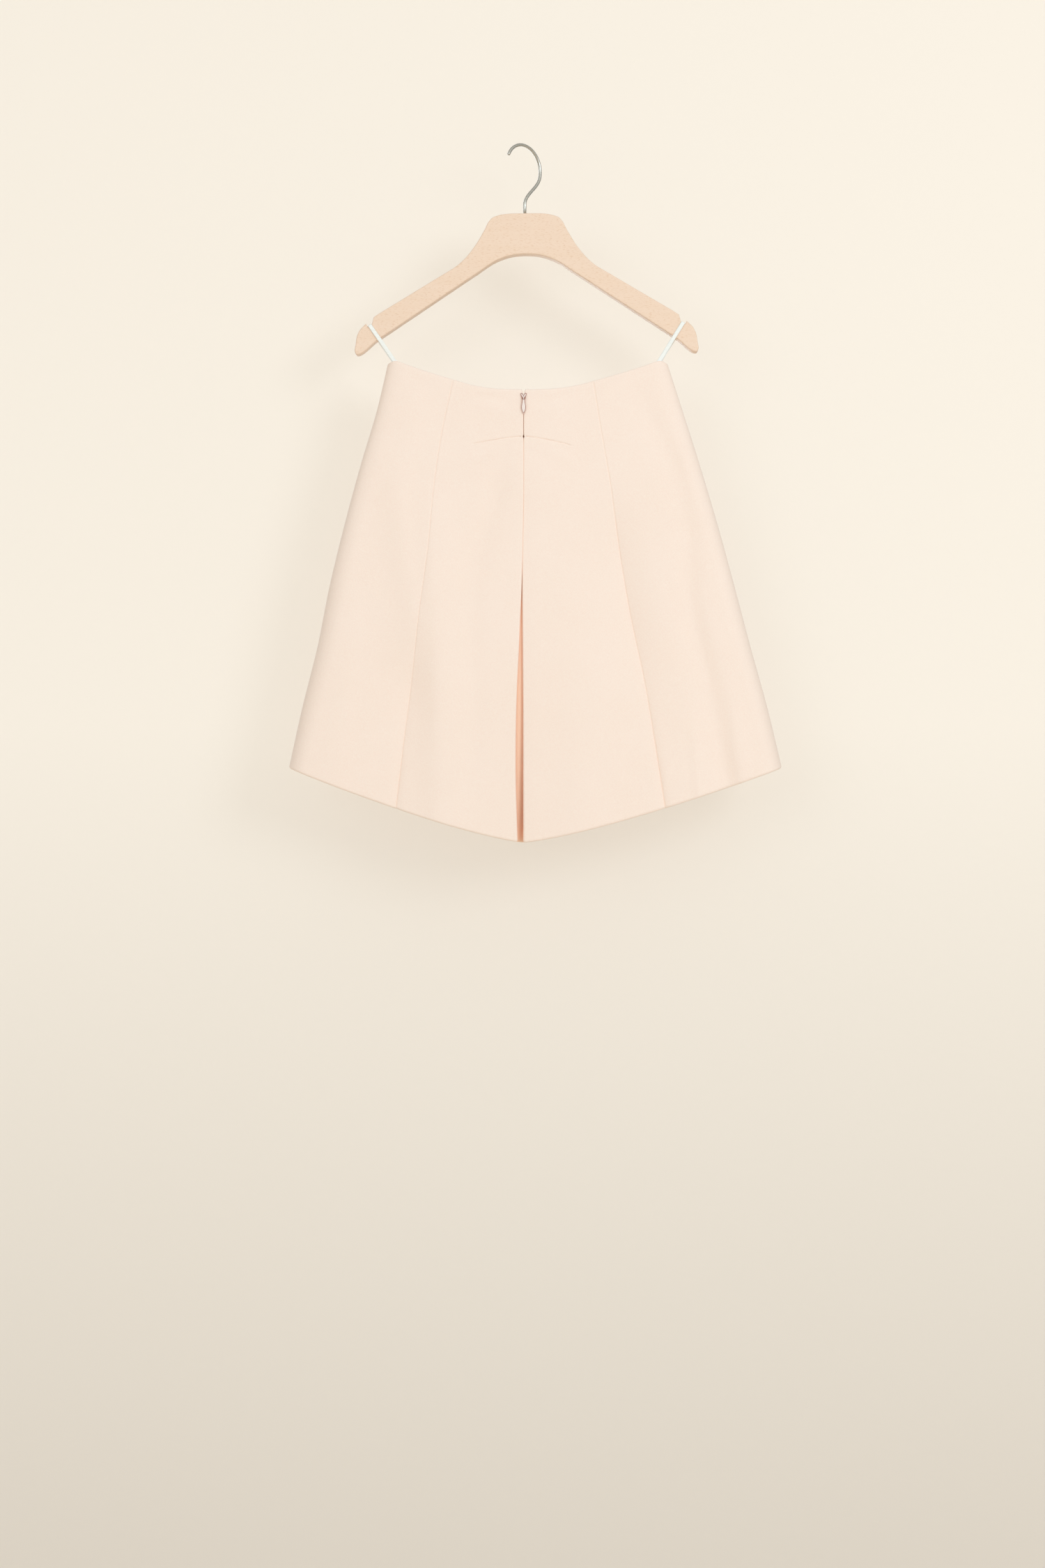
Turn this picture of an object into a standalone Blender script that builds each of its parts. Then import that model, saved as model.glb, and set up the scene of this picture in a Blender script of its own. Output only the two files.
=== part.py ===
"""Flared wool shorts hung by two ribbon loops from a wooden hanger.

The photographed back faces -Y, +X is to the viewer's right and +Z is up. The origin is the
inner top of the hook, where the hanger hangs. Every panel is a grid of columns and rows: a
column is a place on the section of the garment, a row is a level between waist and hem.
Tables and sizes are in millimetres, and turn to metres where a vertex is placed.
"""

import math
from collections import namedtuple

import bmesh
import bpy
from mathutils import Matrix, Vector

MM = 0.001
LEFT, RIGHT = -1, 1

# --- Cloth ---
CLOTH = 1.8  # thickness of the felted wool
SEAM_GAP = 0.3  # between two pieces that are sewn together
PRINCESS_GAP = 0.8  # where the panels meet in a crease, which brings their faces closer
SIDE_WIDE = 22.0  # width of the rounding at each side seam
SIDE_SHARE = 0.76  # its share of how far the cloth stands out
SIDE_SEAM_FLAT = 1.0  # straight run on each side of a side seam
FOLD_FADE = 26.0  # the folds fade out this far from the sides
ROLL_END = 0.97  # a roll stops just short of upright
CORNER_RADIUS = 4.0  # where a leg's wall turns into its front or back
WALL_LEAN = 0.3  # of the legs' inner walls, away from each other at the hem
WALL_SHIFT, WALL_SHIFTED = 5.0, 0.13  # the legs part to the right of the slit, under its edge
PLEAT_DEPTH = 63.0  # from the centre to the inner folds of the pleat
WAIST_CORNER_Z = -265.0
HEM_CORNER_Z = -757.0
HEM_CENTRE_Z = -847.0
HEM_CURVE = 1.28  # power of the hem's rise from the centre to the sides
FRONT_WAIST_DROP = 8.0  # the front is cut lower than the back

# Levels are fractions of the way from waist to hem.
SLASH, SLASH_LOW = 0.103, 0.108  # the cross seam that takes the top of the pleat
CROTCH, CROTCH_LOW = 0.546, 0.552
ZIP_VEE = 0.024  # the back edges part around the slider down to this level
ZIP_VEE_HALF = 3.4
ROWS = (
    0.0, 0.012, ZIP_VEE, 0.06, SLASH, SLASH_LOW, 0.165, 0.22, 0.28, 0.34, 0.40, 0.45, 0.50,
    CROTCH, CROTCH_LOW, 0.60, 0.65, 0.70, 0.75, 0.80, 0.85, 0.90, 0.95, 1.0,
)

# One row for each level: half widths of the silhouette, princess seams, pleat edges, how far
# the back and the front stand from the middle plane, and the distance between pleat layers.
Level = namedtuple(
    "Level",
    "down left_half left_seam left_edge right_half right_seam right_edge back_deep front_deep ply",
)
LEVELS = (
    Level(0.00, 164.5, 85.4, 0.4, 174.5, 84.6, 0.4, 16.0, 16.0, 2.7),
    Level(0.12, 178.5, 98.5, 0.4, 193.5, 94.5, 0.4, 18.5, 18.0, 2.7),
    Level(0.25, 197.6, 108.5, 0.8, 213.8, 106.0, 0.4, 22.0, 21.0, 2.8),
    Level(0.40, 217.6, 116.0, 2.8, 235.8, 116.8, 0.2, 25.0, 24.0, 2.9),
    Level(0.55, 235.5, 126.5, 5.0, 256.0, 130.0, -0.1, 28.0, 27.0, 3.0),
    Level(0.70, 250.2, 135.0, 9.0, 275.5, 146.0, -0.1, 30.0, 29.5, 3.0),
    Level(0.85, 268.6, 145.0, 9.8, 295.9, 159.0, -0.1, 32.0, 31.5, 3.4),
    Level(1.00, 285.0, 154.0, 7.6, 313.7, 171.0, -0.1, 34.0, 33.5, 5.0),
)

# The waist edge sags between the side seams. "out" is the fraction of the half width.
Waist = namedtuple("Waist", "out z")
WAIST = (
    Waist(0.00, -299.1), Waist(0.20, -298.1), Waist(0.35, -294.7), Waist(0.50, -288.0),
    Waist(0.70, -277.8), Waist(0.85, -269.4), Waist(0.95, -263.5), Waist(1.00, WAIST_CORNER_Z),
)

# Hanging folds. Each follows a path down the panel: x is the distance from the centre or from
# the seam, and lift is how far it stands out there, below zero for a valley. The widths are
# those of its inner and outer slopes. A sharp one has a crease at its line, and a rolled one is
# a quarter turn that is steepest there.
Spot = namedtuple("Spot", "down x lift")
Fold = namedtuple("Fold", "side base shape inner outer path")
SEAM, CENTRE = "seam", "centre"
SHARP, SOFT, ROLL = "sharp", "soft", "roll"
BACK_FOLDS = (
    # The right side panel rises from its pressed seam.
    Fold(RIGHT, SEAM, SHARP, 90.0, 42.0, (
        Spot(0.14, 0, 0.0), Spot(0.26, 0, -1.8), Spot(0.40, 0, -7.2), Spot(0.57, 0, -8.2),
        Spot(0.73, 0, -5.6), Spot(0.88, 0, -3.2), Spot(1.00, 0, -1.8),
    )),
    # The long slanting valley of the right side panel.
    Fold(RIGHT, CENTRE, SOFT, 16.0, 12.0, (
        Spot(0.03, 138, 0.0), Spot(0.08, 145, -1.2), Spot(0.24, 181, -2.2),
        Spot(0.40, 198, -2.8), Spot(0.57, 202, -4.2), Spot(0.73, 221, -4.4),
        Spot(0.90, 237, -4.0), Spot(1.00, 246, -4.0),
    )),
    # Right centre panel: a broad ridge near the hem, and its rolled edge at the pleat.
    Fold(RIGHT, CENTRE, SOFT, 30.0, 44.0, (
        Spot(0.55, 62, 0.0), Spot(0.75, 66, 2.0), Spot(0.90, 68, 4.2), Spot(1.00, 70, 4.6),
    )),
    Fold(RIGHT, CENTRE, SHARP, 12.0, 20.0, (
        Spot(0.10, 0, 0.0), Spot(0.20, 0, -0.9), Spot(0.40, 0, -1.4), Spot(0.75, 0, -1.6),
        Spot(1.00, 0, -2.4),
    )),
    # Left centre panel: a ridge beside the seam, and a slanting valley from the cross seam.
    Fold(LEFT, CENTRE, SOFT, 34.0, 20.0, (
        Spot(0.24, 108, 0.0), Spot(0.40, 111, 4.8), Spot(0.57, 107, 6.2), Spot(0.73, 102, 5.0),
        Spot(0.90, 101, 3.6), Spot(1.00, 101, 3.2),
    )),
    Fold(LEFT, CENTRE, SOFT, 13.0, 18.0, (
        Spot(0.11, 20, 0.0), Spot(0.24, 34, -3.0), Spot(0.40, 57, -2.4), Spot(0.57, 62, -2.2),
        Spot(0.73, 60, -1.6), Spot(0.90, 62, -0.8), Spot(1.00, 64, -0.4),
    )),
    Fold(LEFT, SEAM, SHARP, 42.0, 90.0, (
        Spot(0.56, 0, 0.0), Spot(0.64, 0, -2.0), Spot(0.73, 0, -6.8), Spot(0.90, 0, -5.4),
        Spot(1.00, 0, -4.6),
    )),
    # The left edge of the pleat rolls in under the right one.
    Fold(LEFT, CENTRE, ROLL, 9.0, 9.0, (
        Spot(0.26, 0, 0.0), Spot(0.40, 0, -1.6), Spot(0.55, 0, -1.8), Spot(0.70, 0, -1.8),
        Spot(0.80, 0, -2.4), Spot(0.90, 0, -4.6), Spot(1.00, 0, -8.5),
    )),
    Fold(LEFT, CENTRE, ROLL, 16.0, 16.0, (
        Spot(0.50, 0, 0.0), Spot(0.62, 0, -1.2), Spot(0.74, 0, -2.4), Spot(0.88, 0, -3.4),
        Spot(1.00, 0, -4.0),
    )),
    # Left side panel.
    Fold(LEFT, CENTRE, SOFT, 15.0, 20.0, (
        Spot(0.03, 127, 0.0), Spot(0.10, 131, 1.6), Spot(0.24, 150, 2.4), Spot(0.40, 146, 3.6),
        Spot(0.57, 134, 2.2), Spot(0.70, 134, 0.0), Spot(1.00, 134, 0.0),
    )),
    Fold(LEFT, CENTRE, SOFT, 20.0, 30.0, (
        Spot(0.40, 204, 0.0), Spot(0.57, 208, 1.4), Spot(0.73, 214, 2.0), Spot(1.00, 232, 2.4),
    )),
)
FRONT_FOLDS = (
    Fold(LEFT, CENTRE, SOFT, 30.0, 24.0, (
        Spot(0.10, 68, 0.0), Spot(0.35, 88, 2.6), Spot(0.70, 104, 5.4), Spot(1.00, 122, 6.4),
    )),
    Fold(LEFT, CENTRE, SOFT, 22.0, 18.0, (
        Spot(0.30, 118, 0.0), Spot(0.55, 142, -2.2), Spot(1.00, 178, -4.6),
    )),
    Fold(LEFT, CENTRE, SOFT, 14.0, 20.0, (
        Spot(0.22, 22, 0.0), Spot(0.50, 34, -2.2), Spot(0.80, 40, -1.6), Spot(1.00, 46, -1.8),
    )),
    Fold(RIGHT, CENTRE, SOFT, 26.0, 28.0, (
        Spot(0.12, 64, 0.0), Spot(0.40, 84, 2.8), Spot(0.75, 112, 5.0), Spot(1.00, 132, 6.6),
    )),
    Fold(RIGHT, CENTRE, SOFT, 20.0, 22.0, (
        Spot(0.24, 132, 0.0), Spot(0.50, 158, -2.6), Spot(1.00, 204, -4.8),
    )),
    Fold(RIGHT, CENTRE, SOFT, 16.0, 14.0, (
        Spot(0.34, 26, 0.0), Spot(0.60, 30, -1.8), Spot(1.00, 48, -2.4),
    )),
)

# --- Zip ---
TAPE_WIDE, TAPE_THICK, TAPE_GAP = 11.5, 0.8, 0.5
COIL_RADIUS = 0.9
ZIP_RAMP_START, ZIP_RAMP_END = 0.050, 0.096  # the tape leaves the panel for the underlay
ZIP_ROWS = (0.031, 0.06, 0.08, SLASH, SLASH_LOW, 0.165, 0.22, 0.28, 0.33)
SLIDER_TOP_Z, SLIDER_LOW_Z = -303.5, -311.4
SLIDER_WIDE_TOP, SLIDER_WIDE_LOW = 6.4, 3.8
SLIDER_PLATE, SLIDER_BACK = 0.9, 2.0  # thickness in front of the cloth and behind it
NECK_WIDE, NECK_TOP_Z, NECK_LOW_Z, NECK_STEP = 2.0, -300.9, -304.4, 0.4
PULL_AXIS_Z = -309.3
PULL_BAR_HALF = 0.5
PULL_THICK = 1.0
PULL_LONG = 19.0  # from the axis to the tip
PULL_HOLE_HALF = 0.9
PULL_HOLE_END = 2.3
BRIDGE_INNER, BRIDGE_OUTER, BRIDGE_WIDE = 1.0, 1.8, 1.2
BRIDGE_STEPS = 8
LEAF_ROWS = 12
# Half widths of the leaf-shaped pull at fractions of its length.
Leaf = namedtuple("Leaf", "along half")
LEAF = (
    Leaf(0.0, 1.9), Leaf(0.14, 1.9), Leaf(0.4, 2.35), Leaf(0.64, 2.85), Leaf(0.86, 2.2),
    Leaf(1.0, 0.9),
)

# --- Hanger ---
HANGER_X = 3.0  # its centre lies a little to the right of the garment's
HANGER_THICK = 14.0
HANGER_BEVEL = 1.5
HANGER_BEVEL_STEPS = 2
HANGER_CURVE_STEPS = 3  # between two smooth points of the outline
RIM_ANGLE = math.radians(60.0)  # sharper edges than this are the wood's rims
FLAT_ANGLE = math.radians(1.0)  # edges flatter than this are dissolved
WELD = 0.01
HANGER_MIDDLE_Z = -165.0
HANGER_TILT = math.radians(0.5)  # right end up
# Half of the outline from the top centre round to the under side: smooth or corner points.
Outline = namedtuple("Outline", "x z corner")
NOTCH_FLOOR_IN = Outline(188.2, -215.7, True)
NOTCH_FLOOR_OUT = Outline(193.3, -218.9, True)
HANGER_HALF = (
    Outline(0.0, -82.4, False), Outline(38.0, -86.2, False), Outline(43.2, -90.0, False),
    Outline(51.0, -103.8, False), Outline(64.0, -124.5, False), Outline(81.6, -143.6, False),
    Outline(100.0, -155.4, True), Outline(178.5, -202.4, True), Outline(185.8, -207.2, True),
    NOTCH_FLOOR_IN, NOTCH_FLOOR_OUT, Outline(195.2, -214.9, True),
    Outline(204.0, -224.5, False), Outline(208.4, -241.0, False), Outline(208.8, -250.4, False),
    Outline(206.2, -252.8, False), Outline(181.6, -235.6, True), Outline(62.0, -156.6, True),
    Outline(30.0, -137.4, False), Outline(0.0, -132.2, False),
)
BORE_DEEP, BORE_GAP = 14.0, 0.3
BORE_SIDES = 16

# --- Hook ---
WIRE_RADIUS = 1.9
WIRE_RESOLUTION = 2
HOOK_RADIUS = 27.0  # of the wire's centre line
HOOK_TURN = math.radians(42.0)  # the hook's plane is turned to the back on the right
HOOK_TIP_ANGLE, HOOK_BACK_ANGLE = math.radians(154.0), math.radians(-38.0)
HOOK_STEPS = 22
STEM_X = 1.5
STEM_BEND_Z = -70.0  # where the S bend ends
STEM_STEPS = 6

# --- Ribbon loops ---
RIBBON_WIDE, RIBBON_THICK = 5.0, 1.0
RIBBON_GAP = 0.3
RIBBON_TAIL = 14.0  # length inside the waist
RIBBON_ROUND = 1.2
RIBBON_LEAVES = 26.0  # below the notch, where the strands are clear of the wood
RIBBON_TURNS = ((-1, 45.0), (-1, 90.0), (1, 90.0), (1, 45.0))  # over the notch, back to front
# Where each loop meets the waist, and where its tails end.
RibbonEnd = namedtuple("RibbonEnd", "side x z")
RIBBON_ENDS = (RibbonEnd(LEFT, -159.2, -259.5), RibbonEnd(RIGHT, 166.6, -260.2))

# --- Finishes: colour, roughness, metallic ---
FINISHES = {
    "wool": ((0.92, 0.80, 0.68, 1.0), 0.95, 0.0),
    "ribbon": ((0.90, 0.89, 0.86, 1.0), 0.5, 0.0),
    "zip_tape": ((0.88, 0.76, 0.66, 1.0), 0.8, 0.0),
    "zip_coil": ((0.85, 0.72, 0.62, 1.0), 0.5, 0.0),
    "enamel": ((0.86, 0.70, 0.60, 1.0), 0.35, 0.0),
    "beech": ((0.87, 0.72, 0.54, 1.0), 0.55, 0.0),
    "steel": ((0.66, 0.63, 0.60, 1.0), 0.3, 1.0),
}


# --- Reading the tables ---


def read(rows, column, place):
    """A table's column at a place between its rows, on a smooth curve through the values."""
    spots = [row[0] for row in rows]
    values = [getattr(row, column) for row in rows]
    last = len(rows) - 1
    place = min(max(place, spots[0]), spots[last])
    low = max(i for i in range(last) if spots[i] <= place)

    def slope(i):
        before, after = max(i - 1, 0), min(i + 1, last)
        return (values[after] - values[before]) / (spots[after] - spots[before])

    span = spots[low + 1] - spots[low]
    t = (place - spots[low]) / span
    rise = values[low + 1] - values[low]
    start, end = slope(low) * span, slope(low + 1) * span
    return (
        values[low]
        + start * t
        + (3 * rise - 2 * start - end) * t**2
        + (start + end - 2 * rise) * t**3
    )


def level(side, column, down):
    prefix = "left_" if side == LEFT else "right_"
    return read(LEVELS, prefix + column, down)


def mix(start, end, t):
    return start + (end - start) * t


def eased(t):
    t = min(max(t, 0.0), 1.0)
    return t * t * (3 - 2 * t)


# --- The garment's surface. x is the distance from the centre, on one side of it. ---


def fold_lift(folds, side, x, down):
    total = 0.0
    for fold in folds:
        if fold.side != side or down <= fold.path[0].down:
            continue
        line = read(fold.path, "x", down)
        if fold.base == SEAM:
            line += level(side, "seam", down)
        lift = read(fold.path, "lift", down)
        off = abs(x - line) / (fold.outer if x > line else fold.inner)
        near = max(1 - off, 0.0)
        if fold.shape == SHARP:
            total += lift * near**2
        elif fold.shape == ROLL:
            total += lift * (1 - math.sqrt(1 - (ROLL_END * near) ** 2))
        else:
            total += lift * math.exp(-(off**2))
    return total


def stand_out(side, x, down, deep, folds):
    """How far the cloth's middle surface stands from the plane between front and back."""
    inside = level(side, "half", down) - x
    turned = min(max(inside / SIDE_WIDE, 0.0), 1.0)
    turn_deep = deep * SIDE_SHARE
    rounded = SIDE_SEAM_FLAT + turn_deep * math.sqrt(1 - (1 - turned) ** 2)
    crown = math.sin(math.pi / 2 * min(max(inside / level(side, "half", down), 0.0), 1.0))
    fade = eased(inside / FOLD_FADE)
    swell = (deep - turn_deep - SIDE_SEAM_FLAT) * crown
    return rounded + swell + fade * fold_lift(folds, side, x, down)


def back_y(side, x, down):
    return -stand_out(side, x, down, read(LEVELS, "back_deep", down), BACK_FOLDS)


def front_y(side, x, down):
    return stand_out(side, x, down, read(LEVELS, "front_deep", down), FRONT_FOLDS)


def waist_z(side, x, front):
    out = min(x / level(side, "half", 0.0), 1.0)
    drop = FRONT_WAIST_DROP * (1 - out**2) if front else 0.0
    return read(WAIST, "z", out) - drop


def hem_z(out):
    return mix(HEM_CENTRE_Z, HEM_CORNER_Z, min(out, 1.0) ** HEM_CURVE)


def height(side, x, down, front):
    out = max(x, 0.0) / level(side, "half", down)
    top = waist_z(side, out * level(side, "half", 0.0), front)
    return mix(top, hem_z(out), down)


# --- Places on the section: each returns x and y for t from 0 to 1 along its stretch ---


def side_flat(side, t, down):
    """Side-back panel, from the princess seam to the start of the side fold."""
    start = level(side, "seam", down) + PRINCESS_GAP / 2
    x = mix(start, level(side, "half", down) - SIDE_WIDE, t)
    return x, back_y(side, x, down)


def side_round(side, t, down):
    """The quarter turn of the side fold."""
    x = level(side, "half", down) - SIDE_WIDE * (1 - math.sin(math.pi / 2 * t))
    return x, back_y(side, x, down)


def side_seam(side, t, down):
    return level(side, "half", down), -mix(SIDE_SEAM_FLAT, SEAM_GAP / 2, t)


def fold_centre(side, down):
    return level(side, "edge", down) + CLOTH / 2 + read(LEVELS, "ply", down) / 2


def centre_edge(side, down):
    """Where the outer layer ends: at the zip above the cross seam, at the pleat below it."""
    if down > SLASH:
        return fold_centre(side, down)
    return SEAM_GAP / 2 + ZIP_VEE_HALF * (1 - min(down / ZIP_VEE, 1.0))


def outer(side, t, down):
    x = mix(level(side, "seam", down) - PRINCESS_GAP / 2, centre_edge(side, down), t)
    return x, back_y(side, x, down)


def edge_fold(side, t, down):
    radius = read(LEVELS, "ply", down) / 2
    centre = fold_centre(side, down)
    x = centre - radius * math.sin(math.pi * t)
    return x, back_y(side, centre, down) + radius * (1 - math.cos(math.pi * t))


def return_layer(side, t, down):
    x = mix(fold_centre(side, down), PLEAT_DEPTH, t)
    return x, back_y(side, x, down) + read(LEVELS, "ply", down)


def inner_fold(side, t, down):
    radius = read(LEVELS, "ply", down) / 2
    x = PLEAT_DEPTH + radius * math.sin(math.pi * t)
    turn = 3 - math.cos(math.pi * t)
    return x, back_y(side, PLEAT_DEPTH, down) + radius * turn


def seam_shift(side, down):
    """How far the centre seam has wandered to the right on its way down to the crotch."""
    return side * WALL_SHIFT * eased(1 + (down - CROTCH) / WALL_SHIFTED)


def wall_x(side, down):
    """The inner wall of a leg. Below the crotch both lie to the right of the pleat's slit."""
    lean = mix(0.0, WALL_LEAN, eased((down - CROTCH) / (1 - CROTCH)))
    return SEAM_GAP / 2 + CLOTH / 2 + lean + seam_shift(side, down)


def leg_turn_x(side, down):
    """Where a layer ends: at the centre seam above the crotch, at a leg's corner below it."""
    if down > CROTCH:
        return wall_x(side, down) + CORNER_RADIUS
    return SEAM_GAP / 2 + seam_shift(side, down)


def underlay(side, t, down):
    x = mix(PLEAT_DEPTH, leg_turn_x(side, down), t)
    return x, back_y(side, x, down) + 2 * read(LEVELS, "ply", down)


def back_corner(side, t, down):
    x, y = underlay(side, 1.0, down)
    turn = math.pi / 2 * t
    return x - CORNER_RADIUS * math.sin(turn), y + CORNER_RADIUS * (1 - math.cos(turn))


def back_wall(side, t, down):
    x, y = back_corner(side, 1.0, down)
    return x, mix(y, -SEAM_GAP / 2, t)


def front_seam(side, t, down):
    return level(side, "half", down), mix(SEAM_GAP / 2, SIDE_SEAM_FLAT, t)


def front_round(side, t, down):
    x = level(side, "half", down) - SIDE_WIDE * (1 - math.cos(math.pi / 2 * t))
    return x, front_y(side, x, down)


def front_flat(side, t, down):
    start = level(side, "half", down) - SIDE_WIDE
    x = mix(start, leg_turn_x(side, down), t)
    return x, front_y(side, x, down)


def front_corner(side, t, down):
    x, y = front_flat(side, 1.0, down)
    turn = math.pi / 2 * t
    return x - CORNER_RADIUS * math.sin(turn), y - CORNER_RADIUS * (1 - math.cos(turn))


def front_wall(side, t, down):
    x, y = front_corner(side, 1.0, down)
    return x, mix(y, SEAM_GAP / 2, t)


# --- Panels. Each stretch: its place function, its number of columns and its top level ---

Stretch = namedtuple("Stretch", "place columns top")
SIDE_BACK = (Stretch(side_flat, 11, 0.0), Stretch(side_round, 5, 0.0), Stretch(side_seam, 1, 0.0))
CENTRE_BACK = (
    Stretch(outer, 16, 0.0),
    Stretch(edge_fold, 4, SLASH_LOW),
    Stretch(return_layer, 3, SLASH_LOW),
    Stretch(inner_fold, 4, SLASH_LOW),
    Stretch(underlay, 4, SLASH_LOW),
    Stretch(back_corner, 2, CROTCH_LOW),
    Stretch(back_wall, 2, CROTCH_LOW),
)
FRONT = (
    Stretch(front_seam, 1, 0.0),
    Stretch(front_round, 5, 0.0),
    Stretch(front_flat, 16, 0.0),
    Stretch(front_corner, 2, CROTCH_LOW),
    Stretch(front_wall, 2, CROTCH_LOW),
)


def columns_of(stretches):
    """(place, t, top) for each column: every stretch begins where the one before it ended."""
    columns = []
    for stretch in stretches:
        first = 1 if columns else 0
        for i in range(first, stretch.columns + 1):
            columns.append((stretch.place, i / stretch.columns, stretch.top))
    return columns


def new_object(name, mesh, finish, collection):
    obj = bpy.data.objects.new(name, mesh)
    obj.data.materials.append(finish)
    collection.objects.link(obj)
    return obj


def panel(name, side, stretches, front, finish, collection):
    columns = columns_of(stretches)
    bm = bmesh.new()
    bmesh.ops.create_grid(bm, x_segments=len(columns) - 1, y_segments=len(ROWS) - 1, size=1.0)
    cell = {}
    for vert in bm.verts:
        column = round((vert.co.x + 1) / 2 * (len(columns) - 1))
        row = round((vert.co.y + 1) / 2 * (len(ROWS) - 1))
        cell[vert] = (column, row)
        place, t, _ = columns[column]
        x, y = place(side, t, ROWS[row])
        vert.co = Vector((side * x, y, height(side, x, ROWS[row], front))) * MM
    missing = [
        face
        for face in bm.faces
        if min(ROWS[cell[v][1]] for v in face.verts)
        < max(columns[cell[v][0]][2] for v in face.verts)
    ]
    bmesh.ops.delete(bm, geom=missing, context="FACES")
    mesh = bpy.data.meshes.new(name)
    bm.to_mesh(mesh)
    bm.free()
    mesh.shade_smooth()
    obj = new_object(name, mesh, finish, collection)
    wall = obj.modifiers.new("cloth", "SOLIDIFY")
    wall.thickness = CLOTH * MM
    wall.offset = 0.0
    wall.use_even_offset = True
    return obj


# --- Zip ---


def down_of(side, x, z):
    """The level of a height on the back, near the waist."""
    top = waist_z(side, x, False)
    return (z - top) / (hem_z(x / level(side, "half", 0.0)) - top)


def zip_y(side, x, down):
    """The tape's front face: behind the panels, then behind the pleat's underlay."""
    t = (down - ZIP_RAMP_START) / (ZIP_RAMP_END - ZIP_RAMP_START)
    behind = 2 * read(LEVELS, "ply", down) * eased(t)
    cloth = max(back_y(side, x, down), back_y(side, SEAM_GAP / 2, down))
    return cloth + CLOTH / 2 + TAPE_GAP + behind


def zip_tape(name, side, finish, collection):
    bm = bmesh.new()
    bmesh.ops.create_grid(bm, x_segments=2, y_segments=len(ZIP_ROWS) - 1, size=1.0)
    for vert in bm.verts:
        x = SEAM_GAP / 2 + TAPE_WIDE * (vert.co.x + 1) / 2
        down = ZIP_ROWS[round((vert.co.y + 1) / 2 * (len(ZIP_ROWS) - 1))]
        y = zip_y(side, x, down) + TAPE_THICK / 2
        vert.co = Vector((side * x, y, height(side, x, down, False))) * MM
    mesh = bpy.data.meshes.new(name)
    bm.to_mesh(mesh)
    bm.free()
    obj = new_object(name, mesh, finish, collection)
    wall = obj.modifiers.new("tape", "SOLIDIFY")
    wall.thickness = TAPE_THICK * MM
    wall.offset = 0.0
    return obj


def wire(name, points, radius, finish, collection):
    """A round wire along points in millimetres."""
    curve = bpy.data.curves.new(name, "CURVE")
    curve.dimensions = "3D"
    curve.bevel_depth = radius * MM
    curve.bevel_resolution = WIRE_RESOLUTION
    curve.use_fill_caps = True
    curve.materials.append(finish)
    spline = curve.splines.new("POLY")
    spline.points.add(len(points) - 1)
    for target, point in zip(spline.points, points):
        target.co = (*(Vector(point) * MM), 1.0)
    obj = bpy.data.objects.new(name, curve)
    collection.objects.link(obj)
    return obj


def zip_coil(finish, collection):
    lift = TAPE_THICK + SEAM_GAP + COIL_RADIUS
    points = []
    for down in ZIP_ROWS:
        tape = max(zip_y(LEFT, 0.0, down), zip_y(RIGHT, 0.0, down))
        points.append((0.0, tape + lift, height(LEFT, 0.0, down, False)))
    return wire("zip_coil", points, COIL_RADIUS, finish, collection)


def box(low, high):
    """A bmesh box between two corners in millimetres."""
    low, high = Vector(low), Vector(high)
    size = Matrix.Diagonal((*((high - low) * MM), 1.0))
    bm = bmesh.new()
    place = Matrix.Translation((low + high) / 2 * MM) @ size
    bmesh.ops.create_cube(bm, size=1.0, matrix=place)
    return bm


def bmesh_object(name, bm, finish, collection):
    bmesh.ops.recalc_face_normals(bm, faces=bm.faces)
    mesh = bpy.data.meshes.new(name)
    bm.to_mesh(mesh)
    bm.free()
    return new_object(name, mesh, finish, collection)


def combine(target, helper, operation):
    """Joins a helper to the target, or cuts it out of the target, with a Boolean."""
    helper.hide_render = True
    helper.display_type = "WIRE"
    change = target.modifiers.new(helper.name, "BOOLEAN")
    change.operation = operation
    change.object = helper


def slider_front():
    """The slider's plate stands in front of the cloth: its back and front faces."""
    cloth_face = back_y(LEFT, 0.0, down_of(LEFT, 0.0, SLIDER_LOW_Z)) - CLOTH / 2
    back = cloth_face - SEAM_GAP
    return back, back - SLIDER_PLATE


def pull_axis():
    _, front = slider_front()
    return Vector((0.0, front - BRIDGE_INNER, PULL_AXIS_Z))


def slider_bridge(finish, cutters):
    """The hoop over the pull's bar: half a ring about the bar, with its ends in the plate."""
    axis = pull_axis()
    _, front = slider_front()
    bm = bmesh.new()
    corners = ((BRIDGE_INNER, -1), (BRIDGE_OUTER, -1), (BRIDGE_OUTER, 1), (BRIDGE_INNER, 1))
    ring = [
        bm.verts.new((axis + Vector((across * BRIDGE_WIDE / 2, 0.0, radius))) * MM)
        for radius, across in corners
    ]
    profile = bm.faces.new(ring)
    bmesh.ops.spin(
        bm,
        geom=[profile, *profile.edges, *profile.verts],
        cent=axis * MM,
        axis=(1, 0, 0),
        angle=math.pi,
        steps=BRIDGE_STEPS,
    )
    ends = (axis.y - BRIDGE_INNER / 4) * MM
    for vert in bm.verts:
        if vert.co.y > ends:
            vert.co.y = (front + SLIDER_PLATE / 2) * MM
    return bmesh_object("slider_bridge", bm, finish, cutters)


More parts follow.
